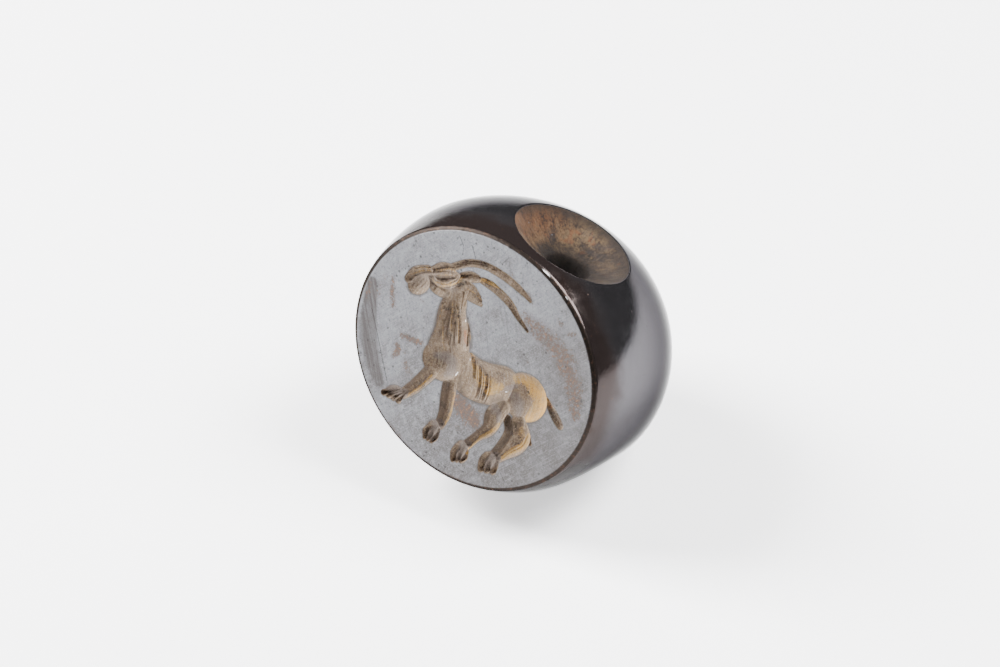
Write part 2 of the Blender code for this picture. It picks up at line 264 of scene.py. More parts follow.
class ShaderTree(Tree):
    """A material's tree, with the pieces that finishes are mixed from."""

    def __init__(self, name: str) -> None:
        """Start a material with an empty tree."""
        self.material = bpy.data.materials.new(name)
        self.material.use_nodes = True
        super().__init__(self.material.node_tree)

    def finish(self, sockets: dict[str, object]) -> bpy.types.Material:
        """End the tree with its shader.

        Args:
            sockets: Values or wires of the shader's sockets.

        Returns:
            The material.
        """
        shader = self.node("ShaderNodeBsdfPrincipled", {}, sockets).out("BSDF")
        self.node("ShaderNodeOutputMaterial", {}, {"Surface": shader})
        return self.material

    def attribute(self, name: str) -> MadeNode:
        """A layer of the net's points."""
        settings = {"attribute_type": "GEOMETRY", "attribute_name": name}
        return self.node("ShaderNodeAttribute", settings, {})

    def noise(
        self, place: Wire, scale: float, detail: float = 2.0, roughness: float = 0.5, warp: float = 0.0
    ) -> Wire:
        """Soft noise from 0 to 1.

        Args:
            place: Where it is read.
            scale: Lumps per millimetre.
            detail: Octaves.
            roughness: How strong the finer octaves are.
            warp: How far the pattern is pulled about.

        Returns:
            The noise.
        """
        return self.node(
            "ShaderNodeTexNoise",
            {},
            {"Vector": place, "Scale": scale, "Detail": detail, "Roughness": roughness, "Distortion": warp},
        ).out("Fac")

    def brush(self, place: Wire, turn: float, along: float, across: float) -> Wire:
        """Noise drawn out along lines on the face, as brushing or rubbing leaves it.

        Args:
            place: Where it is read.
            turn: The lines' angle up from X, in degrees.
            along: Lumps per millimetre along them.
            across: Lumps per millimetre across them.

        Returns:
            The noise.
        """
        angle = math.radians(turn)
        lengthways = place.dot((math.cos(angle) * along, 0.0, math.sin(angle) * along))
        crossways = place.dot((-math.sin(angle) * across, 0.0, math.cos(angle) * across))
        return self.noise(self.combine(lengthways, crossways, 0.0), 1.0, 3.0, 0.6)

    def specks(self, place: Wire, scale: float, size: float, cover: float) -> Wire:
        """Round specks of different sizes, as a number that is 1 on them.

        Args:
            place: Where they are read.
            scale: Places for a speck per millimetre.
            size: Largest radius, as a share of the distance between them.
            cover: Share of the places that have one.

        Returns:
            The specks.
        """
        cells = self.node("ShaderNodeTexVoronoi", {"feature": "F1"}, {"Vector": place, "Scale": scale})
        radius = cells.out("Color").parts()[0].step(1.0 - cover, 1.0) * size
        return (radius - cells.out("Distance")).step(0.0, 0.05)

    def mix(self, factor: object, first: object, second: object) -> Wire:
        """Blend two colours.

        Args:
            factor: Share of the second colour.
            first: A colour or a wire.
            second: A colour or a wire.

        Returns:
            The blended colour.
        """
        named = [colour if isinstance(colour, Wire) else (*colour, 1.0) for colour in (first, second)]
        sockets = {0: factor, 6: named[0], 7: named[1]}
        return self.node("ShaderNodeMix", {"data_type": "RGBA"}, sockets).out(2)

    def lay(self, colour: Wire, *veils: Veil) -> Wire:
        """Lay veils over a colour, one on the other.

        Args:
            colour: The colour underneath.
            veils: What is laid over it, from the lowest to the highest.

        Returns:
            The covered colour.
        """
        for veil in veils:
            cover = veil.number.step(veil.start, veil.end) * veil.share
            colour = self.mix(cover, colour, veil.colour)
        return colour


class ShapeTree(Tree):
    """A geometry tree with named inputs, run as one modifier on one object."""

    def __init__(self, name: str) -> None:
        """Start a geometry tree with its geometry in and out."""
        super().__init__(bpy.data.node_groups.new(name, "GeometryNodeTree"))
        self.identifiers: dict[str, str] = {}
        self.tree.interface.new_socket("Geometry", in_out="INPUT", socket_type="NodeSocketGeometry")
        self.tree.interface.new_socket("Geometry", in_out="OUTPUT", socket_type="NodeSocketGeometry")

    def add_inputs(self, values: dict[str, object]) -> dict[str, Wire]:
        """Add named inputs.

        Args:
            values: Value of each input, which says what kind of socket it is.

        Returns:
            A wire for each name, and one for the geometry.
        """
        kinds = {float: "Float", tuple: "Vector", bpy.types.Material: "Material"}
        for name, value in values.items():
            kind = f"NodeSocket{kinds[type(value)]}"
            made = self.tree.interface.new_socket(name, in_out="INPUT", socket_type=kind)
            self.identifiers[name] = made.identifier
        group = self.node("NodeGroupInput", {}, {})
        return {name: group.out(name) for name in ("Geometry", *values)}

    def layer(self, zone: Zone) -> Wire:
        """The number of a zone on the geometry's points."""
        settings = {"data_type": "FLOAT"}
        return self.node("GeometryNodeInputNamedAttribute", settings, {"Name": zone.value}).out()

    def moved(self, geometry: Wire, sockets: dict[str, Wire]) -> Wire:
        """Move points.

        Args:
            geometry: The geometry.
            sockets: Their new places or their shifts, and which of them move.

        Returns:
            The moved geometry.
        """
        return self.node("GeometryNodeSetPosition", {}, {"Geometry": geometry, **sockets}).out()

    def finish(self, geometry: Wire, material: Wire) -> None:
        """End the tree with real geometry and its material."""
        real = self.node("GeometryNodeRealizeInstances", {}, {"Geometry": geometry}).out()
        dressed = self.node("GeometryNodeSetMaterial", {}, {"Geometry": real, "Material": material}).out()
        self.node("NodeGroupOutput", {}, {"Geometry": dressed})

    def apply(self, target: bpy.types.Object, values: dict[str, object]) -> bpy.types.Mesh:
        """Run the tree on an object and keep the result as a plain mesh.

        Args:
            target: The object that carries the net.
            values: Value of each named input.

        Returns:
            The resulting mesh, with the modifier gone from the object.
        """
        modifier = target.modifiers.new(self.tree.name, "NODES")
        modifier.node_group = self.tree
        for name, value in values.items():
            modifier[self.identifiers[name]] = value
        bpy.context.view_layer.update()
        graph = bpy.context.evaluated_depsgraph_get()
        made = bpy.data.meshes.new_from_object(target.evaluated_get(graph), depsgraph=graph)
        target.modifiers.remove(modifier)
        return made


@dataclass(frozen=True)
class Swell:
    """A side where the dome is fuller than an egg, or flatter if its height is below 0."""

    towards: Triple
    height: float
    spread: float


@dataclass(frozen=True)
class DomeSizes:
    """Sizes of the stone, in millimetres and degrees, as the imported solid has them."""

    half_width: float = 9.62
    half_height: float = 8.58
    crown_reach: float = 11.00
    face_to_widest: float = 4.73
    edge_wear: float = 0.14
    flat_side: Swell = Swell((0.870, 0.056, -0.488), -0.42, 17.0)
    full_side: Swell = Swell((-0.900, 0.250, 0.337), 0.24, 24.0)
    lean_back: float = 21.0
    roll: float = 17.8
    mount_place: Triple = (0.6, 0.0, 2.45)

    @property
    def face_share(self) -> float:
        """Size of the sealing face as a share of the widest section."""
        return math.sqrt(1.0 - (self.face_to_widest / self.crown_reach) ** 2)

    @property
    def radii(self) -> np.ndarray:
        """The egg's three radii."""
        return np.array([self.half_width, self.crown_reach, self.half_height])

    @property
    def middle(self) -> np.ndarray:
        """The egg's middle."""
        return np.array([0.0, self.face_to_widest, 0.0])

    def rim_direction(self, turn: np.ndarray, drop: float) -> np.ndarray:
        """Directions on the egg at a height behind the face.

        Args:
            turn: Angles about the face's middle.
            drop: Distance along the egg's side from the plane of the face.

        Returns:
            Unit directions from the egg's middle.
        """
        start = math.asin(self.face_to_widest / self.crown_reach) - drop / self.crown_reach
        across = math.cos(start)
        down = np.full(turn.shape, -math.sin(start))
        return np.stack([across * np.cos(turn), down, across * np.sin(turn)], -1)

    def pose(self) -> Matrix:
        """Place of the stone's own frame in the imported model's frame, with millimetres made metres."""
        lean = Matrix.Rotation(math.radians(-self.lean_back), 4, "X")
        turn = lean @ Matrix.Rotation(math.radians(self.roll), 4, "Y")
        mount = next(item for item in frame["record"]["mounts"] if item["name"] == "sealing_face")
        start = Vector(mount["pos_m"]) - turn.to_3x3() @ (Vector(self.mount_place) * MM)
        return Matrix.Translation(start) @ turn @ Matrix.Scale(MM, 4)


class Carving:
    """The goat as a depth below the sealing face, in drawing units of about a millimetre.

    Every cut is a round-bottomed hollow, as a drill or a small wheel leaves it. The depth at a
    point is the deepest of the cuts there, and it is negative outside them all.
    """

    CURVE_STEPS = 6
    ROUNDNESS = 0.75
    RIDGE_ROOT = 0.1
    UNCUT = -1.0
    LOWEST_PROFILE = -4.0
    FAR_SHARE = 100.0
    NEAR_WIDTHS = 3.0
    SHORTEST_SQUARED = 1e-9
    THINNEST = 0.01

    def __init__(self) -> None:
        """Start with an uncut face."""
        self.cuts: list[tuple[str, object, float]] = []
        self.ridges: list[tuple[object, float]] = []

    def bowl(
        self, x: float, z: float, half_length: float, half_width: float, turn: float, depth: float
    ) -> None:
        """An oval hollow whose long side is turned up from X by some degrees."""
        self.cuts.append(("bowl", (x, z, half_length, half_width, math.radians(turn)), depth))

    def groove(self, points: list[Triple], depth: float) -> None:
        """A hollow along a curve through (x, z, half width) points."""
        self.cuts.append(("groove", self.path(points, self.CURVE_STEPS), depth))

    def ridge(self, points: list[Triple], height: float) -> None:
        """A fine ridge left standing in the cuts, or a fine extra cut where its height is negative."""
        self.ridges.append((self.path(points, self.CURVE_STEPS), height))

    def strands(
        self,
        first: list[tuple[float, float]],
        last: list[tuple[float, float]],
        count: int,
        half_widths: tuple[float, ...],
        depth: float,
    ) -> None:
        """Grooves side by side, from one line of (x, z) points to another.

        Args:
            first: The line of the first groove.
            last: The line of the last.
            count: How many there are.
            half_widths: Half width at each point, as a share of the grooves' spacing.
            depth: How deep they are.
        """
        for strand in range(count):
            share = strand / (count - 1)
            path = []
            for low, high, half_width in zip(first, last, half_widths):
                spacing = math.dist(low, high) / (count - 1)
                x = low[0] + (high[0] - low[0]) * share
                z = low[1] + (high[1] - low[1]) * share
                path.append((x, z, half_width * spacing))
            self.groove(path, depth)

    @staticmethod
    def path(points: list[Triple], steps: int) -> np.ndarray:
        """Points along a smooth curve through some points.

        Args:
            points: Rows of x, z and half width.
            steps: Steps between two of them.

        Returns:
            The finer rows.
        """
        rows = np.asarray(points, dtype=float)
        padded = np.vstack([rows[:1], rows, rows[-1:]])
        finer = []
        for before, start, end, after in zip(padded, padded[1:], padded[2:], padded[3:]):
            for step in range(steps):
                t = step / steps
                finer.append(
                    0.5
                    * (
                        2.0 * start
                        + (end - before) * t
                        + (2.0 * before - 5.0 * start + 4.0 * end - after) * t**2
                        + (3.0 * start - before - 3.0 * end + after) * t**3
                    )
                )
        finer.append(rows[-1])
        return np.array(finer)

    @staticmethod
    def bowl_share(x: np.ndarray, z: np.ndarray, form: tuple[float, ...]) -> np.ndarray:
        """Distance from a bowl's middle as a share of its outline's."""
        centre_x, centre_z, half_length, half_width, turn = form
        across = x - centre_x
        up = z - centre_z
        long_way = across * math.cos(turn) + up * math.sin(turn)
        short_way = up * math.cos(turn) - across * math.sin(turn)
        return np.hypot(long_way / half_length, short_way / half_width)

    @staticmethod
    def groove_share(x: np.ndarray, z: np.ndarray, path: np.ndarray) -> np.ndarray:
        """Distance from a groove's middle line as a share of its half width."""
        nearest = np.full(x.shape, Carving.FAR_SHARE)
        reach = Carving.NEAR_WIDTHS * path[:, 2].max()
        near = (x > path[:, 0].min() - reach) & (x < path[:, 0].max() + reach)
        near &= (z > path[:, 1].min() - reach) & (z < path[:, 1].max() + reach)
        px, pz = x[near], z[near]
        best = nearest[near]
        for (x0, z0, w0), (x1, z1, w1) in zip(path, path[1:]):
            length = max((x1 - x0) ** 2 + (z1 - z0) ** 2, Carving.SHORTEST_SQUARED)
            t = np.clip(((px - x0) * (x1 - x0) + (pz - z0) * (z1 - z0)) / length, 0.0, 1.0)
            away = np.hypot(px - x0 - t * (x1 - x0), pz - z0 - t * (z1 - z0))
            best = np.minimum(best, away / np.maximum(w0 + t * (w1 - w0), Carving.THINNEST))
        nearest[near] = best
        return nearest

    def depth(self, x: np.ndarray, z: np.ndarray) -> np.ndarray:
        """Depth of the carving at places on the face.

        Args:
            x: Places across the face.
            z: Places up the face.

        Returns:
            Depths, which are negative on the uncut ground.
        """
        deepest = np.full(x.shape, self.UNCUT)
        for kind, form, depth in self.cuts:
            share = self.bowl_share(x, z, form) if kind == "bowl" else self.groove_share(x, z, form)
            inside = np.clip(1.0 - share**2, 0.0, 1.0)
            beyond = np.maximum(1.0 - share**2, self.LOWEST_PROFILE)
            profile = np.where(share < 1.0, inside**self.ROUNDNESS, beyond)
            deepest = np.maximum(deepest, depth * profile)
        for path, height in self.ridges:
            share = self.groove_share(x, z, path)
            standing = np.exp(-(share**2)) * np.clip(deepest / self.RIDGE_ROOT, 0.0, 1.0)
            deepest = deepest - height * standing
        return deepest


@dataclass(frozen=True)
class Smear:
    """A soft-edged mark on the face, along a line of (x, z, half width) points in millimetres."""

    line: Stroke
    strength: float = 1.0
    core: float = 0.35


# Strands of the mane that stand up in the cut, and the dark partings between them. The strands are also
# painted lighter as painted highlights, and the partings darker as painted shade.
MANE_STRANDS = (
    ((-3.10, 2.00, 0.06), (-2.66, 1.00, 0.08), (-2.30, 0.30, 0.05)),
    ((-2.86, 1.95, 0.06), (-2.22, 1.20, 0.08), (-1.85, 0.60, 0.08), (-1.50, 0.00, 0.05)),
    ((-3.00, 0.60, 0.05), (-2.50, -0.30, 0.08), (-2.10, -1.15, 0.05)),
    ((-2.38, 2.85, 0.05), (-2.36, 2.25, 0.06)),
    ((-1.98, 2.35, 0.06), (-1.38, 1.50, 0.08), (-1.15, 0.90, 0.06), (-0.85, 0.30, 0.04)),
    ((-1.05, 1.15, 0.06), (-0.62, 0.60, 0.08), (-0.25, -0.05, 0.08), (0.15, -0.75, 0.05)),
    ((-3.50, 1.60, 0.05), (-3.20, 0.60, 0.05), (-2.95, -0.60, 0.04)),
)
MANE_PARTINGS = (
    ((-3.02, 1.55, 0.05), (-2.72, 0.70, 0.08), (-2.42, -0.10, 0.05)),
    ((-2.70, 1.85, 0.05), (-2.22, 0.85, 0.08), (-1.86, 0.25, 0.05)),
    ((-2.22, 0.10, 0.06), (-2.02, -0.40, 0.11), (-1.78, -1.00, 0.05)),
    ((-1.86, 2.35, 0.06), (-1.60, 1.82, 0.08)),
    ((-1.30, 1.60, 0.05), (-0.85, 0.85, 0.07), (-0.48, 0.15, 0.05)),
    ((-2.40, 0.95, 0.04), (-2.05, 0.30, 0.06), (-1.70, -0.35, 0.04)),
    ((-3.28, 1.90, 0.04), (-2.98, 0.80, 0.06), (-2.72, -0.30, 0.04)),
)
# Raised lines round the muzzle, the eye and the ear, and the dark cuts beside them. The lines are also
# painted lighter as painted highlights, and the cuts darker as painted shade.
HEAD_LINES = (
    ((-6.20, 2.20, 0.05), (-5.80, 2.60, 0.07), (-5.25, 2.92, 0.05)),
    ((-4.95, 3.05, 0.05), (-4.45, 3.50, 0.07), (-3.95, 3.86, 0.05)),
    ((-4.75, 2.82, 0.05), (-4.25, 3.22, 0.07), (-3.70, 3.58, 0.05)),
    ((-4.95, 2.40, 0.06), (-4.30, 2.32, 0.08), (-3.70, 2.82, 0.09), (-3.38, 3.40, 0.08), (-3.32, 3.80, 0.06)),
    ((-4.62, 2.62, 0.05), (-4.10, 2.68, 0.07), (-3.72, 3.10, 0.07), (-3.52, 3.55, 0.05)),
    ((-2.90, 3.42, 0.05), (-2.20, 3.52, 0.07), (-1.50, 3.42, 0.05)),
)
HEAD_CUTS = (
    ((-6.00, 1.80, 0.05), (-5.55, 2.40, 0.07), (-5.02, 2.78, 0.05)),
    ((-4.85, 2.93, 0.04), (-4.38, 3.36, 0.05), (-3.85, 3.70, 0.04)),
    ((-4.40, 2.80, 0.05), (-4.00, 3.06, 0.07), (-3.64, 3.40, 0.05)),
    ((-4.75, 2.14, 0.08), (-4.40, 2.12, 0.10)),
    ((-2.70, 3.28, 0.04), (-2.10, 3.34, 0.05), (-1.50, 3.24, 0.04)),
)
# Cuts between the ribs, also painted darker as painted shade.
RIB_CUTS = (
    ((0.00, -0.12, 0.05), (0.22, -0.70, 0.06), (0.52, -1.25, 0.04)),
    ((0.52, -0.30, 0.05), (0.95, -1.15, 0.06), (1.40, -1.95, 0.04)),
    ((1.10, -0.45, 0.05), (1.48, -1.15, 0.06), (1.82, -1.85, 0.04)),
)


class FaceMarks:
    """Earth, rust and wear on the face, with painted shade on shaded walls and partings, painted light on lit
    walls and raised lines, and painted glints, as numbers on the net's points.
    """

    CURVE_STEPS = 5
    SMEARS: dict[Zone, tuple[Smear, ...]] = {
        # Ochre earth, and painted light on the lit walls of the neck and legs and on the raised strands and
        # lines.
        Zone.OCHRE_AND_LIT: (
            Smear(
                ((4.20, 1.10, 0.75), (4.90, 0.60, 0.85), (5.05, -0.20, 0.75), (4.90, -0.75, 0.45)), 1.0, 0.6
            ),
            Smear(((2.95, 0.65, 0.50), (3.60, 0.90, 0.70), (4.20, 0.50, 0.80)), 0.85),
            Smear(((2.15, -0.60, 0.45), (1.70, -1.30, 0.40)), 0.85),
            Smear(((0.10, -0.50, 0.45), (0.90, -1.00, 0.80), (1.60, -0.80, 0.75)), 0.55),
            Smear(((0.60, -2.05, 0.30), (1.70, -1.90, 0.25)), 0.25),
            Smear(((3.45, -2.50, 0.30), (3.22, -3.20, 0.24), (2.75, -4.20, 0.18), (2.56, -5.50, 0.14)), 0.75),
            Smear(((5.45, -1.80, 0.30), (5.45, -2.50, 0.38), (5.00, -3.30, 0.32), (4.62, -4.20, 0.20)), 0.80),
            Smear(((4.80, -1.80, 0.35), (5.20, -2.40, 0.35)), 0.50),
            Smear(((-1.95, -2.90, 0.18), (-2.18, -3.90, 0.18), (-2.60, -4.90, 0.14)), 0.65),
            Smear(((-0.05, -2.80, 0.22), (0.30, -3.80, 0.24), (0.42, -4.80, 0.18)), 0.60),
            Smear(((-2.15, 4.45, 0.18), (-1.55, 4.65, 0.22), (-1.00, 4.75, 0.16)), 0.70),
            Smear(((0.20, 4.70, 0.16), (0.90, 4.35, 0.12)), 0.45),
            Smear(((-3.20, 3.85, 0.12), (-3.45, 3.20, 0.14), (-3.95, 2.65, 0.12), (-4.60, 2.40, 0.10)), 0.60),
            Smear(((-4.75, 3.10, 0.12), (-4.35, 3.60, 0.12), (-3.70, 3.85, 0.10)), 0.50),
            Smear(((-6.20, 1.75, 0.12), (-5.80, 2.35, 0.14), (-5.20, 2.75, 0.10)), 0.50),
            Smear(((-0.85, 1.20, 0.20), (-0.45, 0.55, 0.30), (0.00, -0.20, 0.30)), 0.50),
            Smear(((-3.00, 1.70, 0.15), (-2.55, 0.80, 0.18), (-2.30, 0.20, 0.12)), 0.45),
            *(Smear(line, 0.62, 0.1) for line in MANE_STRANDS),
            *(Smear(line, 0.60, 0.1) for line in HEAD_LINES),
        ),
        Zone.RUST: (
            Smear(((-7.05, 0.85, 0.18), (-6.80, 0.25, 0.26), (-6.20, -0.65, 0.24)), 0.85),
            Smear(((-7.60, 0.60, 0.30), (-7.50, -0.80, 0.40)), 0.35),
            Smear(((-4.85, -1.85, 0.16), (-4.20, -1.65, 0.26), (-3.45, -1.35, 0.26)), 0.90),
            Smear(((-4.75, -2.55, 0.22), (-4.50, -2.85, 0.30), (-4.60, -3.30, 0.22)), 1.0),
            Smear(((-4.20, -2.60, 0.14), (-3.90, -2.50, 0.10)), 0.60),
            Smear(((-3.70, -3.20, 0.35), (-3.20, -3.50, 0.40)), 0.55),
            Smear(((-4.75, -4.20, 0.20), (-4.40, -4.40, 0.16)), 0.40),
            Smear(((-4.85, 0.90, 0.12), (-4.15, 0.78, 0.12)), 0.50),
            Smear(((-8.25, -0.50, 0.25), (-7.95, -1.40, 0.25)), 0.50),
            Smear(((0.50, -2.90, 0.95), (2.00, -3.20, 0.90)), 1.0, 0.3),
            Smear(((0.80, -4.50, 0.30), (1.60, -4.30, 0.40)), 0.40, 0.0),
            Smear(((1.60, 4.50, 0.55), (3.60, 4.30, 0.95), (5.20, 4.00, 1.00)), 0.72, 0.25),
            Smear(
                ((5.00, 3.80, 0.90), (6.20, 3.10, 0.95), (6.90, 2.30, 0.80), (7.40, 1.40, 0.50)), 0.78, 0.25
            ),
            Smear(((3.45, 5.75, 0.18), (3.85, 5.70, 0.20)), 0.60),
            Smear(((4.45, 5.45, 0.24), (4.85, 5.70, 0.20)), 0.65),
            Smear(((2.20, 4.75, 0.20), (2.55, 4.45, 0.22)), 0.55),
            Smear(((3.15, 2.25, 0.10), (3.25, 2.20, 0.10)), 0.80),
            Smear(((0.90, 5.90, 0.20), (1.50, 5.55, 0.22)), 0.55),
            Smear(((-0.60, 6.15, 0.14), (-0.30, 6.15, 0.14)), 0.45),
            Smear(((2.20, -7.40, 0.16), (3.40, -7.05, 0.18)), 0.80),
            Smear(((-2.70, -7.10, 0.12), (-1.60, -7.35, 0.12)), 0.45),
            Smear(((-1.45, 0.90, 0.25), (-1.10, 0.45, 0.30)), 0.90),
            Smear(((5.45, 0.95, 0.16), (5.75, 0.75, 0.14)), 0.70),
            Smear(((2.45, 7.35, 0.16), (2.75, 7.25, 0.14)), 0.80),
        ),
        Zone.BARE: (
            Smear(((-2.30, -1.70, 0.45), (-1.50, -1.50, 0.90), (-1.10, -1.90, 0.80)), 0.75, 0.2),
            Smear(((3.20, -0.45, 0.45), (3.80, -0.75, 0.60), (4.20, -1.10, 0.30)), 0.85, 0.2),
            Smear(((2.60, -0.45, 0.35), (3.00, 0.10, 0.30)), 0.60),
            Smear(((-3.65, 1.70, 0.30), (-3.30, 0.30, 0.30), (-3.10, -1.20, 0.30)), 0.50),
            Smear(((2.70, -2.10, 0.35), (2.60, -1.60, 0.35)), 0.55),
            Smear(((-3.75, -5.30, 0.52), (-3.00, -5.05, 0.50)), 0.80, 0.5),
            Smear(((0.00, -5.20, 0.55), (0.05, -6.00, 0.52)), 0.80, 0.5),
            Smear(((2.25, -5.10, 0.55), (2.25, -5.80, 0.52)), 0.80, 0.5),
            Smear(((4.30, -4.50, 0.60), (4.15, -5.00, 0.55)), 0.80, 0.5),
            Smear(((2.95, -1.90, 0.40), (3.40, -2.60, 0.32)), 0.70, 0.3),
            Smear(((5.60, 0.95, 0.30), (6.90, 0.25, 0.26)), 0.45, 0.3),
            Smear(((-5.70, 1.60, 0.80), (-4.60, 2.60, 0.80), (-3.60, 3.00, 0.80)), 0.45, 0.5),
        ),
        # Painted shade: dark on the walls and halves of the neck, back, belly and legs that lie in shade, and
        # on partings and fine cuts.
        Zone.SHADE: (
            Smear(
                ((-3.55, 2.30, 0.16), (-3.95, 1.00, 0.30), (-3.95, -0.10, 0.32), (-3.55, -1.20, 0.22)),
                0.95,
                0.3,
            ),
            Smear(((-2.80, 1.90, 0.10), (-2.55, 0.80, 0.14), (-2.30, -0.30, 0.14)), 0.75, 0.2),
            Smear(((-2.10, 0.40, 0.08), (-1.85, -0.30, 0.14), (-1.65, -0.90, 0.08)), 0.90, 0.2),
            Smear(((-3.10, 2.00, 0.40), (-2.90, 0.80, 0.60), (-2.60, -0.50, 0.60)), 0.45, 0.4),
            Smear(
                ((-0.20, -0.05, 0.16), (0.60, 0.30, 0.16), (1.60, 0.60, 0.16), (2.70, 1.00, 0.16)), 0.80, 0.2
            ),
            Smear(
                ((-0.30, -1.70, 0.20), (0.40, -2.30, 0.20), (1.40, -2.30, 0.18), (2.20, -1.80, 0.20)),
                0.70,
                0.2,
            ),
            Smear(((2.70, -0.90, 0.20), (2.70, -1.60, 0.22), (2.45, -2.60, 0.18)), 0.65, 0.2),
            Smear(((-2.40, -2.60, 0.24), (-2.68, -3.50, 0.22), (-2.95, -4.60, 0.18)), 0.75, 0.3),
            Smear(
                ((-0.80, -2.60, 0.30), (-0.52, -3.40, 0.30), (-0.22, -4.20, 0.24), (0.00, -4.90, 0.16)),
                1.0,
                0.45,
            ),
            Smear(
                ((2.42, -2.20, 0.22), (2.66, -3.00, 0.22), (2.42, -3.90, 0.20), (2.12, -4.80, 0.18)),
                0.90,
                0.3,
            ),
            Smear(((2.35, -1.50, 0.34), (2.85, -1.00, 0.28), (3.00, -1.80, 0.16)), 0.80, 0.2),
            Smear(
                ((3.85, -1.75, 0.34), (4.22, -2.50, 0.24), (4.20, -3.30, 0.22), (4.00, -4.20, 0.20)), 1.0, 0.4
            ),
            Smear(((3.30, -1.35, 0.20), (3.90, -1.72, 0.24), (4.60, -1.55, 0.12)), 0.70, 0.2),
            *(Smear(line, 1.0, 0.2) for line in (*MANE_PARTINGS, *HEAD_CUTS, *RIB_CUTS)),
        ),
        Zone.WORN: (
            Smear(
                ((-8.10, -0.30, 0.45), (-7.05, -2.75, 0.68), (-5.70, -4.45, 0.60), (-4.60, -5.35, 0.40)),
                1.0,
                0.75,
            ),
        ),
        # Painted glints: near-white highlights on the rim's chips and small spots in the cuts.
        Zone.GLINT: (
            Smear(((0.45, 7.72, 0.05), (1.20, 7.67, 0.10), (1.80, 7.56, 0.09), (2.30, 7.45, 0.05)), 1.0, 0.4),
            Smear(((2.85, 7.30, 0.05), (3.20, 7.19, 0.10), (3.55, 7.06, 0.05)), 1.0, 0.4),
            Smear(((4.20, 6.76, 0.04), (4.80, 6.45, 0.08), (5.35, 6.10, 0.04)), 0.9, 0.4),
            Smear(((6.20, 5.42, 0.04), (7.00, 4.58, 0.05)), 0.5, 0.4),
            Smear(((-1.78, 1.58, 0.07), (-1.75, 1.50, 0.07)), 1.0),
            Smear(((-0.60, -1.60, 0.05), (-0.60, -1.80, 0.07)), 1.0),
            Smear(((2.75, -0.52, 0.05), (2.66, -0.60, 0.04)), 1.0),
            Smear(((-0.38, -0.30, 0.04), (-0.30, -0.50, 0.05)), 0.8),
            Smear(((0.24, -2.44, 0.04), (0.30, -2.50, 0.03)), 0.7),
            Smear(((-2.80, -5.48, 0.06), (-2.70, -5.42, 0.05)), 0.9),
            Smear(((-0.20, -6.30, 0.04), (-0.12, -6.38, 0.05)), 0.8),
            Smear(((0.22, -6.20, 0.04), (0.24, -6.30, 0.04)), 0.7),
            Smear(((3.92, -5.35, 0.04), (3.96, -5.60, 0.05)), 0.9),
            Smear(((-5.75, 0.98, 0.05), (-5.60, 0.92, 0.04)), 0.6),
        ),
    }

    def paint(self, x: np.ndarray, z: np.ndarray) -> dict[Zone, np.ndarray]:
        """Strength of the marks at places on the face.

        Args:
            x: Places across the face.
            z: Places up the face.

        Returns:
            A number from 0 to 1 for each place, for each zone.
        """
        layers = {}
        for zone, smears in self.SMEARS.items():
            strongest = np.zeros(x.shape)
            for smear in smears:
                share = Carving.groove_share(x, z, Carving.path(smear.line, self.CURVE_STEPS))
                inside = np.clip((1.0 - share) / (1.0 - smear.core), 0.0, 1.0)
                strongest = np.maximum(strongest, smear.strength * inside)
            layers[zone] = strongest
        return layers


